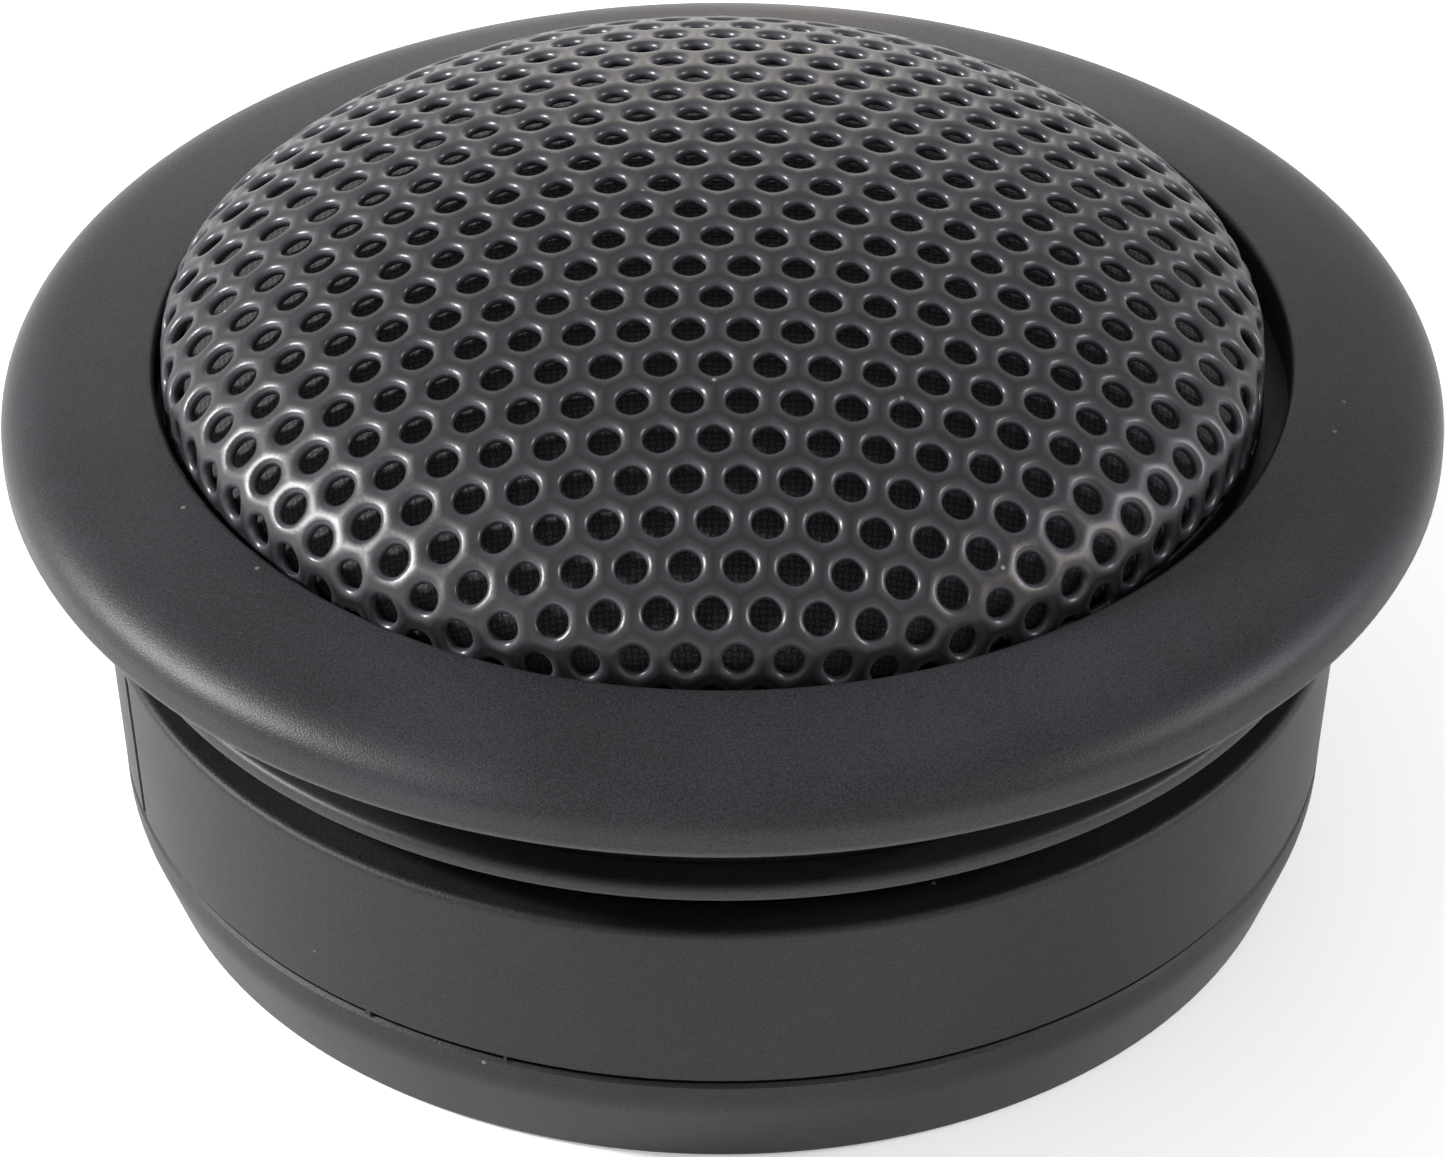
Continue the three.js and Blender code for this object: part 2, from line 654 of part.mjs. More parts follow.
// The pin that the supply lead is soldered to.
function supplyPin() {
  const level = barrelBottom - CAPACITOR_HEIGHT / 2;
  const middle = -CAPACITOR_LENGTH / 2 - CLEARANCE - SUPPLY_PIN_LENGTH / 2;
  const radius = CAPACITOR_LEAD_RADIUS;
  const pin = new THREE.CylinderGeometry(radius, radius, SUPPLY_PIN_LENGTH, WIRE_SIDES);
  return pin.rotateZ(Math.PI / 2).translate(middle, 0, level);
}

function addCup() {
  addPiece("base_cup", "cupPlastic", baseCup());
  addPiece("cup_sleeve", "cupPlastic", cupSleeve());
  addPiece("lead_bush", "rubber", leadBush());
}

function addHead() {
  addPiece("bezel", "moulded", bezel());
  addPiece("neck_ring", "moulded", neckRing());
  addPiece("grille", "grilleSteel", grille(), GRILLE_OFFSET);
  addPiece("grille_cloth", "cloth", grilleCloth(), GRILLE_OFFSET);
  addPiece("cloth_hoop", "moulded", clothHoop(), GRILLE_OFFSET);
}

function addDriver() {
  addPiece("faceplate", "moulded", faceplate());
  addPiece("yoke", "steel", yoke());
  addPiece("magnet", "magnet", magnet());
  addPiece("pole_plate", "steel", polePlate());
  addPiece("felt_pad", "felt", feltPad());
  addPiece("surround", "silk", surround());
  addPiece("soft_dome", "silk", softDome());
  addPiece("coil_former", "aluminium", coilFormer());
  addPiece("voice_coil", "copper", voiceCoil());
  addPiece("terminal_positive", "brass", terminal(1));
  addPiece("terminal_negative", "brass", terminal(-1));
  addPiece("tinsel_lead_positive", "copper", tinselLead(1));
  addPiece("tinsel_lead_negative", "copper", tinselLead(-1));
}

function addRear() {
  addPiece("rear_cover", "moulded", rearCover());
  addPiece("capacitor", "capacitorCase", capacitor());
  addPiece("capacitor_terminal_lead", "copper", terminalLead());
  addPiece("capacitor_supply_pin", "copper", supplyPin());
}

function addScrews() {
  around(SCREW_COUNT, FRONT_SCREW_ANGLE).forEach((angle, i) => {
    const fastener = screw(angle, faceplateTop, ledgeTop, 1);
    addPiece(`faceplate_screw_${i + 1}`, "steel", fastener);
  });
  around(SCREW_COUNT, REAR_SCREW_ANGLE).forEach((angle, i) => {
    const fastener = screw(angle, barrelBottom, coverTop, -1);
    addPiece(`cover_screw_${i + 1}`, "steel", fastener);
  });
}

addCup();
addHead();
addDriver();
addRear();
addScrews();

export default car_tweeter;
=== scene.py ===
"""Looks of a round car tweeter: a perforated dome grille in a flanged head that twists into a surface cup."""

import json
import logging
import math
from abc import ABC, abstractmethod
from bisect import bisect_right
from dataclasses import dataclass
from enum import Enum
from typing import Iterator, Sequence

import bmesh
import bpy
from mathutils import Matrix, Vector


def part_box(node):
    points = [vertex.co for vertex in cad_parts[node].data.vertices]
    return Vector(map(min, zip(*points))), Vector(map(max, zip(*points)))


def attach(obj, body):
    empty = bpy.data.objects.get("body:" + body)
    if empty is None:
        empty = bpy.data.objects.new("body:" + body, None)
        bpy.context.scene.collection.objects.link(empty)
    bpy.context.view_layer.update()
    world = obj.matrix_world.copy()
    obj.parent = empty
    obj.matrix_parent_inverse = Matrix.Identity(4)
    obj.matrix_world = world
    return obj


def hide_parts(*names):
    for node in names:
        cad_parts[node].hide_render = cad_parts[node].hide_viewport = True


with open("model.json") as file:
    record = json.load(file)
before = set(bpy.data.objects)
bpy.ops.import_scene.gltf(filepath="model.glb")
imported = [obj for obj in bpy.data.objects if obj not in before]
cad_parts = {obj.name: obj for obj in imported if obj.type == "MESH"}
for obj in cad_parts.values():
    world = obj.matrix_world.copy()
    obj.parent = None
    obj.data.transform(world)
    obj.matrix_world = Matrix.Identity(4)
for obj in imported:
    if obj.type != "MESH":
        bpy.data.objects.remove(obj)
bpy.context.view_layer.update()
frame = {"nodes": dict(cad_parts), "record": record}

MM = 0.001
TURN = 2 * math.pi
MERGE_MM = 0.0002  # nearer points of a turned shape become one
SLIVER_MM = 0.0001  # shorter edges of a turned shape are dissolved
SAME_HEIGHT_M = 1e-7  # points this near in height lie in one plane
CUT_SLACK_M = 1e-8  # points this near to a cutting plane lie on it
LEVEL = 0.99999  # a face whose normal is this upright is level
LOCK_TURNS = (0, 120, 240)  # where the twist lock's catches and lugs stand, in degrees
LOCK_WIDTH = 26  # how wide each of them is, in degrees
SINK_MM = 0.2  # how far a catch or lug reaches into the wall that carries it
LOG = logging.getLogger("tweeter")

Tree, Socket, Piece, BMesh = bpy.types.NodeTree, bpy.types.NodeSocket, bpy.types.Object, bmesh.types.BMesh


class Body(Enum):
    """The bodies that the pieces ride on."""

    CUP = "cup"
    HEAD = "head"
    DIAPHRAGM = "diaphragm"


# Colours and nodes


def linear(hex_colour: str) -> tuple[float, float, float, float]:
    """Turn an sRGB hex colour into linear RGBA.

    Args:
        hex_colour: The colour as "#rrggbb".

    Returns:
        The linear red, green, blue and an alpha of 1.
    """
    channels = (int(hex_colour[i : i + 2], 16) / 255 for i in (1, 3, 5))
    red, green, blue = (c / 12.92 if c <= 0.04045 else ((c + 0.055) / 1.055) ** 2.4 for c in channels)
    return red, green, blue, 1.0


def per(size_mm: float) -> float:
    """Return the scale of a noise or cell pattern whose features have that size."""
    return 1 / (size_mm * MM)


def waves(spacing_mm: float) -> float:
    """Return the scale of a wave pattern whose bands have that spacing; it has 20 radians in a unit."""
    return TURN / (20 * spacing_mm * MM)


def add(tree: Tree, kind: str, inputs: dict | None = None, **settings) -> bpy.types.Node:
    """Add a node with its settings, values and links.

    Args:
        tree: The tree that gets the node.
        kind: The node's type, such as "ShaderNodeBump".
        inputs: By input name or number, either a value or the socket that feeds it.
        settings: Values of the node's own properties.

    Returns:
        The new node.
    """
    node = tree.nodes.new(kind)
    for name, value in settings.items():
        setattr(node, name, value)
    for key, value in (inputs or {}).items():
        if isinstance(value, Socket):
            tree.links.new(value, node.inputs[key])
        else:
            node.inputs[key].default_value = value
    return node


def place(tree: Tree) -> Socket:
    """Return the place on the piece, in its own coordinates."""
    return add(tree, "ShaderNodeTexCoord").outputs["Object"]


def noise(tree: Tree, where: Socket, size_mm: float, detail: float = 2.0, roughness: float = 0.5) -> Socket:
    """Return a noise whose features have that size."""
    inputs = {"Vector": where, "Scale": per(size_mm), "Detail": detail, "Roughness": roughness}
    return add(tree, "ShaderNodeTexNoise", inputs).outputs[0]


def maths(tree: Tree, operation: str, *values: Socket | float) -> Socket:
    """Return the result of an operation on sockets and numbers."""
    return add(tree, "ShaderNodeMath", dict(enumerate(values)), operation=operation).outputs[0]


def spread(tree: Tree, value: Socket, given: tuple[float, float], wanted: tuple[float, float] = (0.0, 1.0),
           **settings) -> Socket:
    """Return a value mapped from the given range onto the wanted one; the settings are the node's own."""
    inputs = {"Value": value, "From Min": given[0], "From Max": given[1], "To Min": wanted[0], "To Max": wanted[1]}
    return add(tree, "ShaderNodeMapRange", inputs, **settings).outputs[0]


def blend(tree: Tree, share: Socket, first: Socket | str, second: Socket | str) -> Socket:
    """Return a mix of two colours, each of them a socket or "#rrggbb"."""
    ends = [linear(end) if isinstance(end, str) else end for end in (first, second)]
    return add(tree, "ShaderNodeMix", {0: share, 6: ends[0], 7: ends[1]}, data_type="RGBA").outputs[2]


def relief(tree: Tree, height: Socket, strength: float, depth_mm: float) -> Socket:
    """Return the normals of a surface with that relief."""
    return add(tree, "ShaderNodeBump", {"Height": height, "Strength": strength, "Distance": depth_mm * MM}).outputs[0]


def specked(tree: Tree, where: Socket, skin: Socket, dust: str, apart_mm: float, reach: float, cover: float) -> Socket:
    """Strew stray specks of dust over a skin.

    Args:
        tree: The tree that gets the nodes.
        where: The place on the piece.
        skin: The clean skin's colour.
        dust: The dust's colour as "#rrggbb".
        apart_mm: How far apart the specks lie.
        reach: Where a speck has faded out, as a share of that distance.
        cover: How much of the skin's colour a speck hides.

    Returns:
        The dusty skin's colour.
    """
    cells = add(tree, "ShaderNodeTexVoronoi", {"Vector": where, "Scale": per(apart_mm)}).outputs["Distance"]
    return blend(tree, spread(tree, cells, (0.02, reach), (cover, 0.0)), skin, dust)


def surface(tree: Tree, colour: Socket, roughness: Socket | float, normal: Socket, more: dict) -> Socket:
    """Return a shader with a colour, roughness, normals and the further inputs, by name."""
    inputs = {"Base Color": colour, "Roughness": roughness, "Normal": normal} | more
    return add(tree, "ShaderNodeBsdfPrincipled", inputs).outputs[0]


# Finishes


@dataclass(frozen=True)
class Finish(ABC):
    """A real material and how its surface was made."""

    name: str

    @abstractmethod
    def shade(self, tree: Tree) -> Socket:
        """Add the finish's nodes and return the shader."""

    def material(self) -> bpy.types.Material:
        """Return the finish's material, which is made once."""
        found = bpy.data.materials.get(self.name)
        if found:
            return found
        material = bpy.data.materials.new(self.name)
        material.use_nodes = True
        material.node_tree.nodes.clear()
        add(material.node_tree, "ShaderNodeOutputMaterial", {"Surface": self.shade(material.node_tree)})
        return material


class Mould(Enum):
    """A mould's surface: grain size and relief in millimetres, and the roughness that it leaves."""

    SPARK_ERODED = (0.085, 0.03, 0.46)
    FINE_SPARK = (0.075, 0.022, 0.41)
    STONED = (0.07, 0.012, 0.4)


@dataclass(frozen=True)
class MouldedAbs(Finish):
    """ABS dyed black and moulded: an even satin skin with a spark grain, faint flow clouds and stray dust."""

    colour: str
    pale: str
    mould: Mould
    dust: str = "#77756f"

    def shade(self, tree: Tree) -> Socket:
        """Add the finish's nodes and return the shader."""
        grain_mm, relief_mm, roughness = self.mould.value
        where = place(tree)
        flow = noise(tree, where, 9, 3.0)
        grain = noise(tree, where, grain_mm, 3.0, 0.65)
        lift = spread(tree, maths(tree, "MULTIPLY_ADD", flow, 0.3, grain), (0.5, 0.82))
        skin = blend(tree, lift, self.colour, self.pale)
        dusty = specked(tree, where, skin, self.dust, apart_mm=3.2, reach=0.035, cover=0.7)
        sheen = spread(tree, flow, (0.3, 0.7), (roughness - 0.04, roughness + 0.04))
        return surface(tree, dusty, sheen, relief(tree, grain, 0.7, relief_mm), {"IOR": 1.35})


@dataclass(frozen=True)
class PowderCoat(Finish):
    """Black polyester powder baked on steel: a soft orange peel, drawn thin, glossier and with a painted highlight
    over each punched edge.
    """

    colour: str = "#171718"
    # painted highlight: the paler colour of the holes' rims, partly the thinner coat there
    edge: str = "#4c4c54"
    dust: str = "#8d8a84"
    peel_mm: float = 0.6
    grit_mm: float = 0.12

    def shade(self, tree: Tree) -> Socket:
        """Add the finish's nodes and return the shader."""
        where = place(tree)
        rim = add(tree, "ShaderNodeAttribute", attribute_name="rim").outputs["Fac"]
        peel = noise(tree, where, self.peel_mm)
        grit = noise(tree, where, self.grit_mm, 2.0, 0.6)
        # the rim share, broken by the peel, paints a highlight on the holes' rims and makes them glossier
        rim_highlight_and_gloss = maths(tree, "MULTIPLY", rim, peel)
        skin = blend(tree, rim_highlight_and_gloss, self.colour, self.edge)
        dusty = specked(tree, where, skin, self.dust, apart_mm=2.6, reach=0.04, cover=0.8)
        gloss = spread(tree, rim_highlight_and_gloss, (0.0, 1.0), (0.42, 0.24))
        height = maths(tree, "MULTIPLY_ADD", grit, 0.35, peel)
        return surface(tree, dusty, gloss, relief(tree, height, 0.5, 0.02), {"IOR": 1.5})


@dataclass(frozen=True)
class Woven(Finish):
    """A plain weave on the piece's flat pattern: threads that pass over and under each other, dark gaps between."""

    thread: str
    gap: str
    spacing_mm: float
    roughness: float
    coat: float = 0.0
    sheen: float = 0.15

    def shade(self, tree: Tree) -> Socket:
        """Add the finish's nodes and return the shader."""
        where = add(tree, "ShaderNodeUVMap", uv_map="flat").outputs[0]
        ribs = {"Vector": where, "Scale": waves(self.spacing_mm)}
        warp, weft = (add(tree, "ShaderNodeTexWave", ribs, bands_direction=way).outputs["Fac"] for way in "XY")
        over = add(tree, "ShaderNodeTexChecker", {"Vector": where, "Scale": per(self.spacing_mm)}).outputs["Fac"]
        height = add(tree, "ShaderNodeMix", {0: over, 2: warp, 3: weft}).outputs[0]
        seen = maths(tree, "MULTIPLY", height, noise(tree, where, self.spacing_mm / 3))
        skin = blend(tree, spread(tree, seen, (0.08, 0.5)), self.gap, self.thread)
        return surface(tree, skin, self.roughness, relief(tree, seen, 0.8, 0.3 * self.spacing_mm),
                       {"Coat Weight": self.coat, "Coat Roughness": 0.25, "Sheen Weight": self.sheen,
                        "Sheen Roughness": 0.5})


class Tooling(Enum):
    """The marks that forming leaves on a metal, as the wave pattern that draws them."""

    TURNED = {"wave_type": "RINGS", "rings_direction": "Z"}
    ROLLED = {"wave_type": "BANDS", "bands_direction": "Z"}
    WOUND = {"wave_type": "BANDS", "bands_direction": "Z", "wave_profile": "SIN"}
    BRAIDED = {"wave_type": "BANDS", "bands_direction": "DIAGONAL"}


@dataclass(frozen=True)
class Metal(Finish):
    """A metal with its tool marks: bright ridges and darker, duller valleys that break up its reflections."""

    bright: str
    dull: str
    tooling: Tooling
    spacing_mm: float
    relief_mm: float
    roughness: float
    coat: float = 0.0

    def shade(self, tree: Tree) -> Socket:
        """Add the finish's nodes and return the shader."""
        where = place(tree)
        marks = add(tree, "ShaderNodeTexWave",
                    {"Vector": where, "Scale": waves(self.spacing_mm), "Distortion": 0.4, "Detail": 2.0},
                    **self.tooling.value).outputs["Fac"]
        stain = noise(tree, where, 2.5, 4.0)
        skin = blend(tree, maths(tree, "MULTIPLY", marks, stain), self.dull, self.bright)
        gloss = spread(tree, stain, (0.25, 0.75), (self.roughness - 0.06, self.roughness + 0.08))
        return surface(tree, skin, gloss, relief(tree, marks, 0.6, self.relief_mm),
                       {"Metallic": 1.0, "Coat Weight": self.coat, "Coat Roughness": 0.1})


@dataclass(frozen=True)
class Felt(Finish):
    """Pressed wool felt: matted fibres of mixed grey with a soft pale fuzz at its edges."""

    dark: str = "#2b2b2e"
    pale: str = "#5c5c60"
    fibre_mm: float = 0.12

    def shade(self, tree: Tree) -> Socket:
        """Add the finish's nodes and return the shader."""
        where = place(tree)
        along = add(tree, "ShaderNodeMapping", {"Vector": where, "Scale": (1, 6, 1)}).outputs[0]
        across = add(tree, "ShaderNodeMapping",
                     {"Vector": where, "Rotation": (0, 0, 1.1), "Scale": (5, 1, 1)}).outputs[0]
        fibres = maths(tree, "MAXIMUM", *(noise(tree, way, self.fibre_mm * 4, 4.0) for way in (along, across)))
        skin = blend(tree, spread(tree, fibres, (0.4, 0.75)), self.dark, self.pale)
        return surface(tree, skin, 0.95, relief(tree, fibres, 0.9, 0.08),
                       {"Sheen Weight": 0.35, "Sheen Roughness": 0.6})


@dataclass(frozen=True)
class Dipped(Finish):
    """A skin left by dipping or moulding soft: slow waves in a gloss or a rubbery dullness, with fine pits."""

    colour: str
    pale: str
    roughness: float
    wave_mm: float
    relief_mm: float
    coat: float = 0.0

    def shade(self, tree: Tree) -> Socket:
        """Add the finish's nodes and return the shader."""
        where = place(tree)
        sag = noise(tree, where, self.wave_mm)
        pits = noise(tree, where, 0.15, 3.0)
        gloss = spread(tree, pits, (0.3, 0.7), (self.roughness - 0.04, self.roughness + 0.06))
        return surface(tree, blend(tree, sag, self.colour, self.pale), gloss, relief(tree, sag, 0.5, self.relief_mm),
                       {"Coat Weight": self.coat, "Coat Roughness": 0.06})


BEZEL_ABS = MouldedAbs("fine_satin_black_abs", "#18181a", "#323237", Mould.FINE_SPARK)
CUP_ABS = MouldedAbs("spark_textured_black_abs", "#0e0e0e", "#252424", Mould.SPARK_ERODED)
RING_ABS = MouldedAbs("smooth_black_abs", "#1f1e20", "#343335", Mould.STONED)
INNER_ABS = MouldedAbs("unlit_black_abs", "#161617", "#1f1f20", Mould.SPARK_ERODED)
GRILLE_COAT = PowderCoat("black_powder_coated_steel")
GRILLE_CLOTH = Woven("black_polyester_weave", "#3a383c", "#0d0c0d", 0.26, 0.85)
SILK = Woven("doped_black_silk", "#2a2622", "#0d0b0a", 0.2, 0.5, coat=0.5, sheen=0.05)
ZINC = Metal("turned_zinc_plated_steel", "#b4b8bb", "#8c9093", Tooling.TURNED, 0.35, 0.006, 0.32)
NICKEL = Metal("nickel_plated_magnet", "#c9c4b8", "#a8a49a", Tooling.TURNED, 1.2, 0.002, 0.2)
FOIL = Metal("rolled_aluminium_foil", "#dcdee0", "#b9bcbf", Tooling.ROLLED, 0.2, 0.003, 0.26)
WINDING = Metal("enamelled_copper_winding", "#c8743f", "#6d3216", Tooling.WOUND, 0.16, 0.05, 0.3, coat=0.7)
TINSEL = Metal("braided_copper_tinsel", "#c98a5c", "#70401f", Tooling.BRAIDED, 0.22, 0.04, 0.42)
TINNED = Metal("tinned_stamped_brass", "#d6cfae", "#a79c78", Tooling.ROLLED, 0.3, 0.004, 0.3)
BLACK_ZINC = Metal("black_zinc_screw_steel", "#3a3c40", "#1d1e21", Tooling.TURNED, 0.25, 0.006, 0.36)
FELT = Felt("grey_wool_felt")
RUBBER = Dipped("black_moulded_rubber", "#101011", "#1b1b1c", 0.72, 1.4, 0.01)
EPOXY = Dipped("dipped_red_epoxy", "#4a130c", "#6b2013", 0.16, 2.2, 0.06, coat=0.6)

SLOT_FINISHES = {
    "bush_rubber": RUBBER,
    "inner_plastic": INNER_ABS,
    "magnetic_steel": ZINC,
    "nickel_plate": NICKEL,
    "aluminium_foil": FOIL,
    "copper_wire": TINSEL,
    "tinned_brass": TINNED,
    "capacitor_case": EPOXY,
    "screw_steel": BLACK_ZINC,
}
NODE_FINISHES = {"voice_coil": WINDING}


# Turned shapes


def size_of(node: str) -> tuple[Vector, Vector]:
    """Return a CAD node's lowest and highest corner, in millimetres."""
    low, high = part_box(node)
    return low / MM, high / MM


@dataclass(frozen=True)
class Corner:
    """A corner of a turned outline: radius and height in millimetres, and the radius of its rounding."""

    r: float
    z: float
    rounding: float = 0.0


def rounded(corners: Sequence[Corner], closed: bool = True, steps: int = 6) -> list[Vector]:
    """Lay an arc, tangent to both sides, at each rounded corner of an outline.

    Args:
        corners: The outline's corners, in order.
        closed: Whether the last corner joins the first.
        steps: The number of straight steps in an arc.

    Returns:
        The outline's points as (radius, height), in millimetres.
    """
    points = []
    for i, corner in enumerate(corners):
        here = Vector((corner.r, corner.z))
        if not corner.rounding or (not closed and i in (0, len(corners) - 1)):
            points.append(here)
            continue
        before, after = corners[i - 1], corners[(i + 1) % len(corners)]
        back = Vector((before.r, before.z)) - here
        ahead = Vector((after.r, after.z)) - here
        half = back.angle(ahead) / 2
        reach = min(corner.rounding / math.tan(half), 0.48 * back.length, 0.48 * ahead.length)
        middle = here + (back.normalized() + ahead.normalized()).normalized() * reach / math.cos(half)
        start = here + back.normalized() * reach - middle
        sweep = start.angle_signed(here + ahead.normalized() * reach - middle)
        points.extend(middle + Matrix.Rotation(-sweep * k / steps, 2) @ start for k in range(steps + 1))
    return points


def spin(bm: BMesh, outline: Sequence[Vector], steps: int = 160, centre: Vector = Vector((0, 0, 0)),
         arc: tuple[float, float] | None = None, closed: bool = True) -> None:
    """Turn an outline about an upright axis and add the result to a bmesh.

    Args:
        bm: The bmesh that receives it, in metres.
        outline: Points (radius, height) in millimetres.
        steps: The number of steps of the turn.
        centre: A point on the axis, in metres.
        arc: The middle and the width of a part turn, in degrees, closed at both ends; a full turn without it.
        closed: Whether the outline's last point joins its first.
    """
    start = math.radians(arc[0] - arc[1] / 2) if arc else 0.0
    away = Vector((math.cos(start), math.sin(start), 0))
    verts = [bm.verts.new(centre + away * p.x * MM + Vector((0, 0, p.y * MM))) for p in outline]
    edges = [bm.edges.new(pair) for pair in zip(verts, verts[1:])]
    if closed:
        edges.append(bm.edges.new((verts[-1], verts[0])))
    face = [bm.faces.new(verts)] if arc else []
    bmesh.ops.spin(bm, geom=verts + edges + face, cent=centre, axis=(0, 0, 1),
                   angle=math.radians(arc[1]) if arc else TURN, steps=steps, use_merge=not arc)
    bmesh.ops.remove_doubles(bm, verts=bm.verts, dist=MERGE_MM * MM)
    bmesh.ops.dissolve_degenerate(bm, edges=bm.edges, dist=SLIVER_MM * MM)


def ring_of(bm: BMesh, radius: float, x: float, y: float, z: float, steps: int = 40) -> list:
    """Add a circle of edges to a bmesh and return its edges; its sizes are in millimetres."""
    made = bmesh.ops.create_circle(bm, segments=steps, radius=radius * MM,
                                   matrix=Matrix.Translation((x * MM, y * MM, z * MM)))
    return list({edge for vert in made["verts"] for edge in vert.link_edges})


def new_piece(name: str, bm: BMesh, crease_deg: float = 35.0) -> Piece:
    """Make an object from a bmesh, with its faces pointing outwards, smooth but for sharp edges and level faces.

    Args:
        name: The piece's name.
        bm: The finished bmesh, in metres, which is freed.
        crease_deg: Edges that turn by more than this stay sharp; from 90 on, level faces are smooth too.

    Returns:
        The new object, in the scene.
    """
    bmesh.ops.recalc_face_normals(bm, faces=bm.faces)
    for face in bm.faces:
        face.smooth = crease_deg >= 90 or abs(face.normal.z) < LEVEL
    for edge in bm.edges:
        edge.smooth = edge.calc_face_angle(0.0) < math.radians(crease_deg)
    mesh = bpy.data.meshes.new(name)
    bm.to_mesh(mesh)
    bm.free()
    piece = bpy.data.objects.new(name, mesh)
    bpy.context.scene.collection.objects.link(piece)
    return piece


def settle(piece: Piece, body: Body, slot: str, finish: Finish, *nodes: str) -> Piece:
    """Dress a new piece, ride it on its body and let it stand for its CAD nodes.

    Args:
        piece: The new piece.
        body: The body that it moves with.
        slot: The material slot that its finish belongs to; not used.
        finish: Its finish.
        nodes: The CAD nodes that it replaces.

    Returns:
        The same piece.
    """
    piece.data.materials.append(finish.material())
    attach(piece, body.value)
    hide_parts(*nodes)
    LOG.info("%s: %d faces, %s, on %s", piece.name, len(piece.data.polygons), finish.name, body.value)
    return piece


# The cup


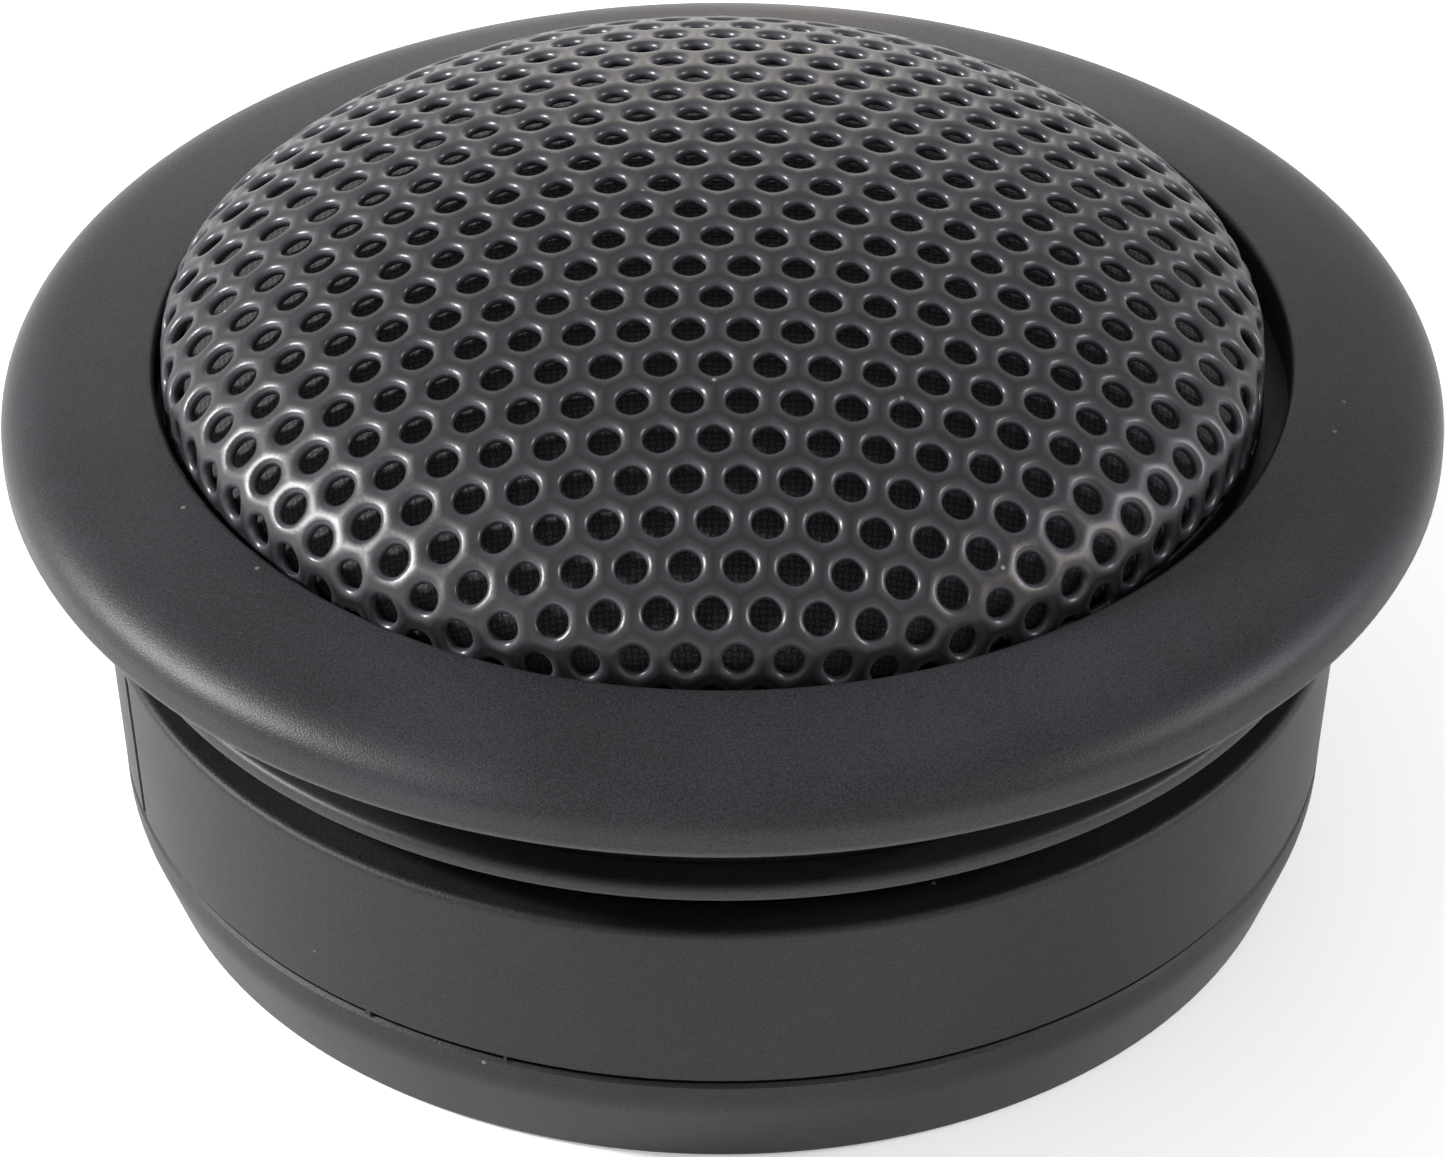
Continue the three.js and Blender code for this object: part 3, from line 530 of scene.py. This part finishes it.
@dataclass(frozen=True)
class SurfaceCup:
    """The cup that is screwed to a panel: a base, a sleeve that holds the head, and a rubber lead bush.

    Every size is in millimetres and every turn in degrees. The radii step inwards from the seam, where the base
    meets the sleeve.

    Attributes:
        slot_end: How far the outside leans out, and over what height, just above the slot.
        slot_slack: How far past its outline the slot's points are looked for.
        slot_floor: The share of the slot's width that is its floor; the rest slopes.
        slot_nearby: How many half widths to each side the faces that it may cut lie.
        ties: The turn and width of each thin tie across the seam.
    """

    foot_inset: float = 1.3
    foot_rounding: float = 0.4
    knuckle: float = 1.2
    knuckle_inset: float = 0.08
    knuckle_rounding: float = 4.0
    seam_break: float = 0.15
    seam_inset: float = 0.02
    seam_gap: float = 0.12
    wall: float = 1.5
    fit: float = 0.3
    spigot_wall: float = 0.75
    spigot_rounding: float = 0.15
    floor: float = 1.6
    rim_flare: float = 0.5
    rim_rounding: float = 0.5
    slot_turn: float = -161.6
    slot_width: float = 1.2
    slot_depth: float = 0.25
    slot_top: float = 11.3
    slot_end: tuple[float, float] = (0.005, 0.1)
    slot_slack: float = 0.05
    slot_floor: float = 0.7
    slot_nearby: float = 6.0
    ties: tuple[tuple[float, float], ...] = ((-124.4, 0.54), (-110.1, 0.26))
    tie_depth: float = 0.4
    tie_inset: float = 0.04
    tie_lap: float = 0.14
    catch_reach: float = 1.05
    catch_rounding: float = 0.12
    catch_heights: tuple[float, float] = (10.0, 11.2)
    stop_heights: tuple[float, float] = (8.3, 11.2)
    stop_turn: int = 16
    stop_width: int = 4
    bush_place: float = 12.5
    bush_hole: float = 3.2
    bush_bore: float = 1.5
    bush_collar: float = 0.8
    screw_place: float = 9.0
    screw_hole: float = 1.8
    counterbore: float = 3.3
    counterbore_floor: float = 0.8

    def build(self) -> None:
        """Build the base, the sleeve and the bush."""
        self.base()
        self.sleeve()
        self.bush()

    def base(self) -> Piece:
        """Return the base: a turned wall round a floor that is pierced for the screws and the lead."""
        low, high = size_of("base_cup")
        seam_radius, seam = high.x, size_of("cup_sleeve")[0].z - self.seam_gap
        spigot = seam_radius - self.wall - self.fit
        bore = spigot - self.spigot_wall
        bm = bmesh.new()
        spin(bm, rounded([
            Corner(bore, low.z), Corner(seam_radius - self.foot_inset, low.z, self.foot_rounding),
            Corner(seam_radius - self.knuckle_inset, seam - self.knuckle, self.knuckle_rounding),
            Corner(seam_radius - self.seam_inset, seam - self.seam_break),
            Corner(seam_radius - self.seam_break, seam), Corner(spigot, seam),
            Corner(spigot, high.z, self.spigot_rounding), Corner(bore, high.z, self.spigot_rounding),
            Corner(bore, self.floor),
        ], closed=False), closed=False)
        outer = [[e for e in bm.edges if e.is_boundary and abs(e.verts[0].co.z - z * MM) < SAME_HEIGHT_M]
                 for z in (low.z, self.floor)]
        bush = [ring_of(bm, self.bush_hole, 0, self.bush_place, z) for z in (low.z, self.floor)]
        screws = []
        for x in (-self.screw_place, self.screw_place):
            screws.append([
                ring_of(bm, self.screw_hole, x, 0, low.z), ring_of(bm, self.screw_hole, x, 0, self.counterbore_floor),
                ring_of(bm, self.counterbore, x, 0, self.counterbore_floor),
                ring_of(bm, self.counterbore, x, 0, self.floor),
            ])
        under = outer[0] + bush[0] + screws[0][0] + screws[1][0]
        above = outer[1] + bush[1] + screws[0][3] + screws[1][3]
        for edges in (under, above):
            bmesh.ops.triangle_fill(bm, use_beauty=True, edges=edges)
        for hole in (bush, *screws):
            for first, second in zip(hole, hole[1:]):
                bmesh.ops.bridge_loops(bm, edges=first + second)
        return settle(new_piece("base_cup_moulding", bm), Body.CUP, "cup_plastic", CUP_ABS, "base_cup")

    def sleeve(self) -> Piece:
        """Return the sleeve with its flared rim and, inside, the catches and stops of the twist lock."""
        low, high = size_of("cup_sleeve")
        rim = high.x
        foot = rim - self.rim_flare
        bore = foot - self.wall
        slot_r = foot + self.rim_flare * (self.slot_top - low.z) / (high.z - low.z)
        lean, rise = self.slot_end
        bm = bmesh.new()
        spin(bm, rounded([
            Corner(bore, low.z, 0.1), Corner(foot - self.seam_break, low.z), Corner(foot, low.z + self.seam_break),
            Corner(slot_r, self.slot_top), Corner(slot_r + lean, self.slot_top + rise),
            Corner(rim, high.z, self.rim_rounding), Corner(bore, high.z, 0.2),
        ]))
        self.cut_slot(bm, foot - self.seam_break - self.slot_slack)
        back, front = foot - self.tie_depth, foot - self.tie_inset
        under, over = low.z - self.seam_gap, low.z + self.tie_lap
        for turn, width in self.ties:
            spin(bm, [Vector((back, under)), Vector((front, under)), Vector((front, over)), Vector((back, over))],
                 steps=2, arc=(turn, width))
        catch, wall = bore - self.catch_reach, bore + SINK_MM
        for turn in LOCK_TURNS:
            for middle, width, (bottom, top) in ((turn, LOCK_WIDTH, self.catch_heights),
                                                 (turn - self.stop_turn, self.stop_width, self.stop_heights)):
                spin(bm, rounded([
                    Corner(catch, bottom, self.catch_rounding), Corner(wall, bottom), Corner(wall, top),
                    Corner(catch, top, self.catch_rounding),
                ]), steps=max(3, width // 2), arc=(middle, width))
        return settle(new_piece("cup_sleeve_moulding", bm), Body.CUP, "cup_plastic", CUP_ABS, "cup_sleeve")

    def cut_slot(self, bm: BMesh, skin: float) -> None:
        """Sink the upright joint line into the sleeve's outside.

        Args:
            bm: The sleeve's bmesh, in metres.
            skin: Points further out than this radius belong to the outside, in millimetres.
        """
        middle = math.radians(self.slot_turn)
        half = math.radians(self.slot_width / 2)

        def off(place: Vector) -> float:
            """Return the angle between a place and the slot's middle."""
            return abs((math.atan2(place.y, place.x) - middle + math.pi) % TURN - math.pi)

        for turn in (-1.0, -self.slot_floor, self.slot_floor, 1.0):
            faces = [f for f in bm.faces if off(f.calc_center_median()) < self.slot_nearby * half]
            geometry = set(faces) | {e for f in faces for e in f.edges} | {v for f in faces for v in f.verts}
            angle = middle + turn * half
            bmesh.ops.bisect_plane(bm, geom=list(geometry), dist=CUT_SLACK_M, plane_co=(0, 0, 0),
                                   plane_no=(-math.sin(angle), math.cos(angle), 0))
        floor, top = (1 + self.slot_floor) / 2 * half, (self.slot_top + self.slot_slack) * MM
        for vert in bm.verts:
            radius = vert.co.xy.length
            if off(vert.co) < floor and radius > skin * MM and vert.co.z < top:
                vert.co.xy *= 1 - self.slot_depth * MM / radius

    def bush(self) -> Piece:
        """Return the rubber bush that the lead passes through."""
        low, high = size_of("lead_bush")
        collar = (high.x - low.x) / 2
        shaft, step = self.bush_hole - self.fit, high.z - self.bush_collar
        bm = bmesh.new()
        spin(bm, rounded([
            Corner(self.bush_bore, low.z, 0.15), Corner(shaft, low.z, 0.15), Corner(shaft, step),
            Corner(collar, step, 0.15), Corner(collar, high.z, 0.3), Corner(self.bush_bore, high.z, 0.3),
        ]), steps=48, centre=Vector((0, self.bush_place * MM, 0)))
        return settle(new_piece("rubber_lead_bush", bm), Body.CUP, "bush_rubber", RUBBER, "lead_bush")


# The head


@dataclass(frozen=True)
class HeadMoulding:
    """The moulding that carries the driver: flange, neck and barrel, with the thin ring round its neck.

    Every size is in millimetres and every turn in degrees.

    Attributes:
        side_pull: How strongly the shoulder's curve leaves the upright side.
        crest_pull: How strongly it meets the sloping top, as a share of the shoulder.
        shoulder_steps: The number of straight steps in the curve.
        crest_inset: How far from the recess the sloping top reaches its full height.
        seat_gap: How far above the cup's rim the neck steps in to the barrel.
    """

    overhang: float = 5.2
    flange: float = 3.4
    edge_rounding: float = 0.65
    side: float = 1.1
    side_pull: float = 0.75
    shoulder: float = 2.3
    crest_pull: float = 0.6
    shoulder_steps: int = 14
    slope: float = 0.18
    crest_inset: float = 0.2
    recess_inset: float = 0.7
    recess_depth: float = 2.1
    seat_gap: float = 0.2
    barrel_inset: float = 1.7
    bore_inset: float = 3.2
    ledge_drop: float = 3.1
    ledge: float = 2.4
    ledge_reach: float = 3.5
    lug_reach: float = 1.05
    lug_heights: tuple[float, float] = (8.3, 9.7)
    boss: float = 2.1
    boss_hole: float = 1.15
    boss_inset: float = 1.8
    boss_bottom: float = 7.0
    boss_sink: float = 0.1
    boss_turn: int = 30
    ring_depth: float = 1.4

    def build(self) -> None:
        """Build the bezel and the ring."""
        self.bezel()
        self.ring()

    def bezel(self) -> Piece:
        """Return the bezel, with the lugs of the twist lock and the bosses for the cover's screws."""
        low, high = size_of("bezel")
        radius, top = high.x, high.z
        neck, under = radius - self.overhang, top - self.flange
        barrel, bore, recess = neck - self.barrel_inset, neck - self.bore_inset, neck - self.recess_inset
        step = size_of("cup_sleeve")[1].z + self.seat_gap
        ledge = under - self.ledge_drop
        crest_drop = self.slope * (radius - self.shoulder - recess - self.crest_inset)
        crest = Vector((radius - self.shoulder, top - crest_drop))
        outline = rounded([
            Corner(barrel, low.z, 0.2), Corner(barrel, step), Corner(neck, step, 0.15), Corner(neck, under, 0.35),
            Corner(radius, under, self.edge_rounding), Corner(radius, under + self.side),
        ], closed=False)
        before_crest = Vector((self.crest_pull, -self.crest_pull * self.slope)) * self.shoulder
        ends = (outline[-1], outline[-1] + Vector((0, self.side_pull)), crest + before_crest, crest)
        for k in range(1, self.shoulder_steps + 1):
            t = k / self.shoulder_steps
            outline.append(sum((p * math.comb(3, n) * (1 - t) ** (3 - n) * t ** n for n, p in enumerate(ends)),
                               Vector((0, 0))))
        outline.extend(rounded([
            Corner(*crest), Corner(recess, top, 0.22), Corner(recess, top - self.recess_depth),
            Corner(bore, top - self.recess_depth, 0.1), Corner(bore, ledge),
            Corner(bore - self.ledge_reach, ledge, 0.1),
            Corner(bore - self.ledge_reach, ledge - self.ledge, 0.1), Corner(bore, ledge - self.ledge),
            Corner(bore, low.z),
        ], closed=False)[1:])
        bm = bmesh.new()
        spin(bm, outline, steps=176)
        bottom, upper = self.lug_heights
        boss_top = ledge - self.ledge + self.boss_sink
        for turn in LOCK_TURNS:
            spin(bm, rounded([
                Corner(barrel - SINK_MM, bottom), Corner(barrel + self.lug_reach, bottom, 0.2),
                Corner(barrel + self.lug_reach, upper, 0.2), Corner(barrel - SINK_MM, upper),
            ]), steps=LOCK_WIDTH // 2, arc=(turn, LOCK_WIDTH))
            angle = math.radians(turn + self.boss_turn)
            way = Vector((math.cos(angle), math.sin(angle), 0))
            spin(bm, rounded([
                Corner(self.boss_hole, self.boss_bottom, 0.1), Corner(self.boss, self.boss_bottom, 0.1),
                Corner(self.boss, boss_top), Corner(self.boss_hole, boss_top),
            ]), steps=28, centre=way * (bore - self.boss_inset) * MM)
        return settle(new_piece("bezel_moulding", bm), Body.HEAD, "bezel_plastic", BEZEL_ABS, "bezel")

    def ring(self) -> Piece:
        """Return the thin ring round the neck."""
        low, high = size_of("neck_ring")
        outer, inner = high.x, high.x - self.ring_depth
        bm = bmesh.new()
        spin(bm, rounded([
            Corner(inner, low.z, 0.1), Corner(outer, low.z, 0.2),
            Corner(outer, high.z, 0.33), Corner(inner, high.z, 0.1),
        ]))
        return settle(new_piece("neck_ring_moulding", bm), Body.HEAD, "ring_plastic", RING_ABS, "neck_ring")


# The grille and its cloth


@dataclass(frozen=True)
class Crown:
    """The outline of a drawn dome: nearly flat in the middle, steep at its edge, on a straight skirt.

    Every size is in millimetres.

    Attributes:
        radius: The skirt's outer radius.
        apex: The height of the dome's middle.
        spring: The height at which the dome meets the skirt.
        skirt: The skirt's length.
        centre: The dome's axis along X.
        flatness: The exponent that keeps the middle flat.
        shoulder: The exponent that makes the edge steep.
        steps: The number of straight steps from the middle to the skirt.
    """

    radius: float
    apex: float
    spring: float
    skirt: float
    centre: float
    flatness: float = 2.04
    shoulder: float = 1.45
    steps: int = 720

    def outline(self) -> list[tuple[float, float]]:
        """Return points (radius, height) from the middle to the skirt's end."""
        points = [(0.0, self.apex)]
        for i in range(1, self.steps + 1):
            share = math.sin(i * math.pi / (2 * self.steps))
            fall = max(0.0, 1 - share ** self.flatness) ** (1 / self.shoulder)
            points.append((self.radius * share, self.spring + (self.apex - self.spring) * fall))
        points.append((self.radius, self.spring - self.skirt))
        return points


class Press:
    """Presses a flat sheet onto a turned die. A point keeps its direction, and the sheet stretches to its edge."""

    STRETCHED_AT = 20  # mm from the middle, where the stretch is told
    END_SLACK = 1e-4  # mm, so that no point runs past the outline's last step

    def __init__(self, outline: Sequence[Sequence[float]], centre: float = 0.0, stretch: float = 0.0) -> None:
        """Measure the outline.

        Args:
            outline: Points (radius, height) of the die, from the middle outwards, in millimetres.
            centre: The die's axis along X, in millimetres.
            stretch: How much longer the sheet is than its blank, as a share, at STRETCHED_AT.
        """
        self.centre = centre
        self.stretch = stretch
        self.rows = [(outline[0][0], *outline[0])]
        for before, after in zip(outline, outline[1:]):
            self.rows.append((self.rows[-1][0] + math.dist(before, after), *after))
        self.lengths = [row[0] for row in self.rows]

    def press(self, flat: Vector) -> Vector:
        """Return where a point of the blank goes, in metres.

        Args:
            flat: The point on the blank, in millimetres; its z is its height over the die's outer face.
        """
        blank = math.hypot(flat.x, flat.y)
        stretched = blank * (1 + self.stretch * (blank / self.STRETCHED_AT) ** 2)
        length = min(stretched, self.lengths[-1] - self.END_SLACK)
        i = bisect_right(self.lengths, length)
        (s0, r0, z0), (s1, r1, z1) = self.rows[i - 1], self.rows[i]
        share = (length - s0) / (s1 - s0)
        out = Vector((z0 - z1, r1 - r0)).normalized() * flat.z
        radius, height = r0 + (r1 - r0) * share + out.x, z0 + (z1 - z0) * share + out.y
        angle = math.atan2(flat.y, flat.x)
        return Vector((self.centre + radius * math.cos(angle), radius * math.sin(angle), height)) * MM


def formed_cloth(name: str, press: Press, wall: float, rings: int) -> Piece:
    """Make a sheet of cloth that is formed on a press and keeps its flat pattern as the UV map "flat".

    Args:
        name: The piece's name.
        press: The press, with the cloth's middle surface as its outline.
        wall: The cloth's thickness in millimetres.
        rings: The number of rings of faces from its inner to its outer edge.

    Returns:
        The piece, still without a finish.
    """
    inner, outer = press.lengths[0], press.lengths[-1]
    bm = bmesh.new()
    spin(bm, [Vector((inner + (outer - inner) * k / rings, 0)) for k in range(rings + 1)], steps=128, closed=False)
    flat = bm.loops.layers.uv.new("flat")
    for face in bm.faces:
        for loop in face.loops:
            loop[flat].uv = loop.vert.co.xy
    for vert in bm.verts:
        vert.co = press.press(vert.co / MM)
    piece = new_piece(name, bm, crease_deg=180)
    thread = piece.modifiers.new("thread", "SOLIDIFY")
    thread.thickness, thread.offset = wall * MM, 0
    return piece


@dataclass(frozen=True)
class GrillePressing:
    """The perforated dome, pressed from a flat sheet with round holes in staggered rows, and its cloth.

    Every size is in millimetres. The holes are laid out on the flat blank, as they are punched.

    Attributes:
        rows_out: The rows, and the holes in a row, that are tried on each side of the first hole.
        skirt_end: How near to the skirt's end the last hole's centre may lie.
        blank_merge: Points of neighbouring cells that are nearer than this on the blank become one.
        formed_merge: The same on the formed dome.
        margin: The height of the plain margin at the skirt's end.
        hem: How far inside the margin's face the perforated sheet lies.
    """

    rise: float = 6.9
    wall: float = 0.5
    pitch: float = 2.025
    row_share: float = 0.982
    hole: float = 0.615
    first_hole: tuple[float, float] = (1.2333, -1.9272)
    rows_out: int = 16
    tilt_deg: float = -0.6
    stretch: float = 0.0127
    blank_merge: float = 0.02
    formed_merge: float = 0.003
    skirt: float = 2.1
    skirt_end: float = 0.2
    margin: float = 0.9
    margin_wall: float = 0.56
    hem: float = 0.02
    cloth_gap: float = 0.3
    cloth_wall: float = 0.12
    sides: int = 12

    def crown(self, inset: float = 0.0) -> Crown:
        """Return the dome's outline, moved inwards by an inset."""
        low, high = size_of("grille")
        return Crown((high.x - low.x) / 2 - inset, high.z - inset, high.z - self.rise - inset, self.skirt - inset,
                     (high.x + low.x) / 2)

    def build(self) -> None:
        """Build the perforated dome and the cloth behind it."""
        self.dome()
        self.cloth()

    def cell(self) -> bpy.types.Mesh:
        """Return one six-sided cell of the blank with its hole; the wall of the hole is marked as its rim, where the
        powder coat paints a highlight.
        """
        bm = bmesh.new()
        mark = bm.verts.layers.float.new("rim")
        corner, sixth = self.pitch / math.sqrt(3), math.pi / 3
        loops = []
        for radius, depth, six_sided in ((corner, 0, True), (self.hole, 0, False),
                                         (self.hole, -self.wall, False), (corner, -self.wall, True)):
            made = bmesh.ops.create_circle(bm, segments=self.sides, radius=radius,
                                           matrix=Matrix.Translation((0, 0, depth)))["verts"]
            for vert in made:
                turn = math.atan2(vert.co.y, vert.co.x) % sixth
                if six_sided and abs(turn - sixth / 2) > sixth / 4:
                    vert.co.xy *= math.cos(sixth / 2)
                vert[mark] = 0.0 if six_sided else 1.0
                vert.co.y *= self.row_share
            loops.append(list({edge for vert in made for edge in vert.link_edges}))
        for first, second in zip(loops, loops[1:]):
            bmesh.ops.bridge_loops(bm, edges=first + second)
        mesh = bpy.data.meshes.new("cell")
        bm.to_mesh(mesh)
        bm.free()
        return mesh

    def sites(self, reach: float) -> Iterator[Vector]:
        """Yield the centres of the holes on the blank, out to a reach."""
        gap = self.pitch * self.row_share * math.sqrt(3) / 2
        turn = Matrix.Rotation(math.radians(self.tilt_deg), 2)
        span = range(-self.rows_out, self.rows_out + 1)
        for row in span:
            for column in span:
                site = Vector((self.first_hole[0] + (column + 0.5 * (row % 2)) * self.pitch,
                               self.first_hole[1] + row * gap))
                if site.length < reach:
                    yield turn @ site

    def dome(self) -> Piece:
        """Return the perforated dome on its plain margin."""
        crown = self.crown(self.hem)
        press = Press(crown.outline(), crown.centre, self.stretch)
        cell = self.cell()
        bm = bmesh.new()
        turn = Matrix.Rotation(math.radians(self.tilt_deg), 3, "Z")
        for site in self.sites(press.lengths[-1] - self.skirt_end):
            before = len(bm.verts)
            bm.from_mesh(cell)
            bm.verts.ensure_lookup_table()
            placed = bm.verts[before:]
            bmesh.ops.rotate(bm, verts=placed, matrix=turn)
            bmesh.ops.translate(bm, verts=placed, vec=site.to_3d())
        bpy.data.meshes.remove(cell)
        bmesh.ops.remove_doubles(bm, verts=bm.verts, dist=self.blank_merge)
        for vert in bm.verts:
            vert.co = press.press(vert.co)
        bmesh.ops.remove_doubles(bm, verts=bm.verts, dist=self.formed_merge * MM)
        low, high = size_of("grille")
        radius, upper = (high.x - low.x) / 2, low.z + self.margin
        bore = radius - self.margin_wall
        spin(bm, rounded([
            Corner(bore, low.z, 0.05), Corner(radius, low.z, 0.05), Corner(radius, upper), Corner(bore, upper),
        ], steps=1), steps=96, centre=Vector((crown.centre * MM, 0, 0)))
        piece = new_piece("perforated_grille", bm, crease_deg=180)
        finer = piece.modifiers.new("finer", "SUBSURF")
        finer.levels = finer.render_levels = 1
        return settle(piece, Body.HEAD, "grille_steel", GRILLE_COAT, "grille")

    def cloth(self) -> Piece:
        """Return the cloth that is stretched behind the dome, with the blank's own pattern kept as its UV map."""
        crown = self.crown(self.wall + self.cloth_gap + self.cloth_wall / 2)
        press = Press(crown.outline(), crown.centre)
        piece = formed_cloth("dust_cloth_stretched", press, self.cloth_wall, rings=44)
        settle(piece, Body.HEAD, "dust_cloth", GRILLE_CLOTH, "grille_cloth")
        return piece


# The driver


@dataclass(frozen=True)
class Driver:
    """The soft dome driver: silk dome and surround, and a felt pad under the dome. Sizes in millimetres."""

    silk: float = 0.22
    dome_rise: float = 4.2
    dome_steps: int = 24
    roll: float = 0.9
    roll_start_deg: float = 172
    roll_sweep_deg: float = 164
    roll_steps: int = 20
    land: float = 0.5
    lip: float = 0.26
    felt_rounding: float = 0.3

    def build(self) -> None:
        """Build the dome, the surround and the felt pad."""
        self.dome()
        self.surround()
        self.felt()

    def dome(self) -> Piece:
        """Return the silk dome, a cap of a sphere."""
        high = size_of("soft_dome")[1]
        sphere = (high.x ** 2 + self.dome_rise ** 2) / (2 * self.dome_rise)
        sweep = math.asin(high.x / sphere)
        middle = sphere - self.silk / 2
        angles = [sweep * k / self.dome_steps for k in range(self.dome_steps + 1)]
        press = Press([(middle * math.sin(a), high.z - sphere + middle * math.cos(a)) for a in angles])
        piece = formed_cloth("silk_dome", press, self.silk, rings=20)
        settle(piece, Body.DIAPHRAGM, "coated_silk", SILK, "soft_dome")
        return piece

    def surround(self) -> Piece:
        """Return the silk surround: a half roll between a narrow lip and a flat land."""
        low, high = size_of("surround")
        centre = high.x - self.land - self.roll
        middle = high.z - low.z - self.silk / 2
        foot = low.z + self.silk / 2
        angles = [math.radians(self.roll_start_deg - self.roll_sweep_deg * k / self.roll_steps)
                  for k in range(self.roll_steps + 1)]
        bead = [(centre + middle * math.cos(a), low.z + middle * math.sin(a)) for a in angles]
        press = Press([(centre - middle - self.lip, foot), *bead, (high.x, foot)])
        piece = formed_cloth("silk_surround", press, self.silk, rings=24)
        settle(piece, Body.HEAD, "coated_silk", SILK, "surround")
        return piece

    def felt(self) -> Piece:
        """Return the felt pad, a disc with soft edges."""
        low, high = size_of("felt_pad")
        radius = high.x
        bm = bmesh.new()
        spin(bm, rounded([
            Corner(0, low.z), Corner(radius, low.z, self.felt_rounding), Corner(radius, high.z, self.felt_rounding),
            Corner(0, high.z),
        ], closed=False), steps=72, closed=False)
        piece = settle(new_piece("felt_damping_pad", bm), Body.HEAD, "felt", FELT, "felt_pad")
        return piece


def dress_kept_nodes() -> None:
    """Give each CAD node that stays its own finish."""
    for part in frame["record"]["subparts"]:
        node = frame["nodes"][part["node"]]
        finish = NODE_FINISHES.get(node.name) or SLOT_FINISHES.get(part["material_slot"])
        if node.hide_render or not finish:
            continue
        for slot in node.material_slots:
            slot.material = finish.material()
        LOG.info("%s keeps its shape, in %s", node.name, finish.name)


# The studio


@dataclass(frozen=True)
class SoftBox:
    """A square soft light: where it stands in metres, its side in metres, its power in watts and its colour."""

    name: str
    place: tuple[float, float, float]
    side: float
    power: float
    colour: str = "#ffffff"


@dataclass(frozen=True)
class Studio:
    """A pale floor, soft light and the camera. Sizes in metres; the focal length is told in frame widths."""

    elevation_deg: float = 36.0
    distance: float = 0.300
    target: tuple[float, float, float] = (0, 0, 0.01061)
    sensor_mm: float = 36
    focal_widths: float = 7719 / 1445
    nearest: float = 0.01
    floor_reach: float = 3.0
    boxes: tuple[SoftBox, ...] = (
        SoftBox("left_softbox", (-0.42, 0.0, 0.25), 0.08, 3.7),
        SoftBox("back_softbox", (0.0, 0.50, 0.10), 0.18, 0.17, "#fff2e6"),
        SoftBox("right_softbox", (0.42, 0.0, 0.22), 0.09, 0.8, "#e4e9ff"),
        SoftBox("right_lamp", (0.389, -0.099, 0.218), 0.008, 0.45, "#ffe6c4"),
    )

    def build(self) -> None:
        """Build the camera, the floor, the sky and the lights."""
        self.camera()
        self.floor()
        self.sky()
        for box in self.boxes:
            self.light(box)
        bpy.context.scene.view_settings.view_transform = "Standard"

    def camera(self) -> None:
        """Add the camera, aimed at the tweeter's axis."""
        data = bpy.data.cameras.new("camera")
        data.sensor_width = self.sensor_mm
        data.lens = self.sensor_mm * self.focal_widths
        data.clip_start = self.nearest
        camera = bpy.data.objects.new("camera", data)
        bpy.context.scene.collection.objects.link(camera)
        tilt = math.radians(self.elevation_deg)
        away = Vector((0, -math.cos(tilt), math.sin(tilt)))
        camera.location = Vector(self.target) + away * self.distance
        camera.rotation_euler = away.to_track_quat("Z", "Y").to_euler()
        bpy.context.scene.camera = camera

    def floor(self) -> None:
        """Add a wide pale floor under the cup, lit a little from within as a light table is."""
        bm = bmesh.new()
        bmesh.ops.create_grid(bm, x_segments=1, y_segments=1, size=self.floor_reach)
        plane = new_piece("floor", bm)
        material = bpy.data.materials.new("pale_light_table")
        material.use_nodes = True
        tree = material.node_tree
        tree.nodes.clear()
        shader = add(tree, "ShaderNodeBsdfPrincipled",
                     {"Base Color": linear("#f2f2f2"), "Roughness": 0.9, "Specular IOR Level": 0.2,
                      "Emission Color": linear("#ffffff"), "Emission Strength": 0.34})
        add(tree, "ShaderNodeOutputMaterial", {"Surface": shader.outputs[0]})
        plane.data.materials.append(material)

    def sky(self) -> None:
        """Set the surrounding light: pale near the horizon, dimmer overhead and towards +X."""
        world = bpy.data.worlds.new("studio")
        world.use_nodes = True
        tree = world.node_tree
        tree.nodes.clear()
        way = add(tree, "ShaderNodeTexCoord").outputs["Generated"]
        parts = add(tree, "ShaderNodeSeparateXYZ", {0: way}).outputs
        fall = spread(tree, parts["Z"], (0.3, 0.85), (0.92, 0.46), interpolation_type="SMOOTHSTEP")
        side = spread(tree, parts["X"], (-1.0, 1.0), (1.03, 0.82))
        power = maths(tree, "MULTIPLY", fall, side)
        light = add(tree, "ShaderNodeBackground", {"Color": linear("#ffffff"), "Strength": power}).outputs[0]
        add(tree, "ShaderNodeOutputWorld", {"Surface": light})
        bpy.context.scene.world = world

    def light(self, box: SoftBox) -> None:
        """Add a soft light, aimed at the tweeter."""
        data = bpy.data.lights.new(box.name, "AREA")
        data.size, data.energy, data.color = box.side, box.power, linear(box.colour)[:3]
        light = bpy.data.objects.new(box.name, data)
        bpy.context.scene.collection.objects.link(light)
        light.location = box.place
        light.rotation_euler = (Vector(box.place) - Vector(self.target)).to_track_quat("Z", "Y").to_euler()


def main() -> None:
    """Build the studio and every sub-assembly, in order."""
    logging.basicConfig(level=logging.INFO, format="%(message)s")
    Studio().build()
    SurfaceCup().build()
    HeadMoulding().build()
    GrillePressing().build()
    Driver().build()
    dress_kept_nodes()


if __name__ == "__main__":
    main()
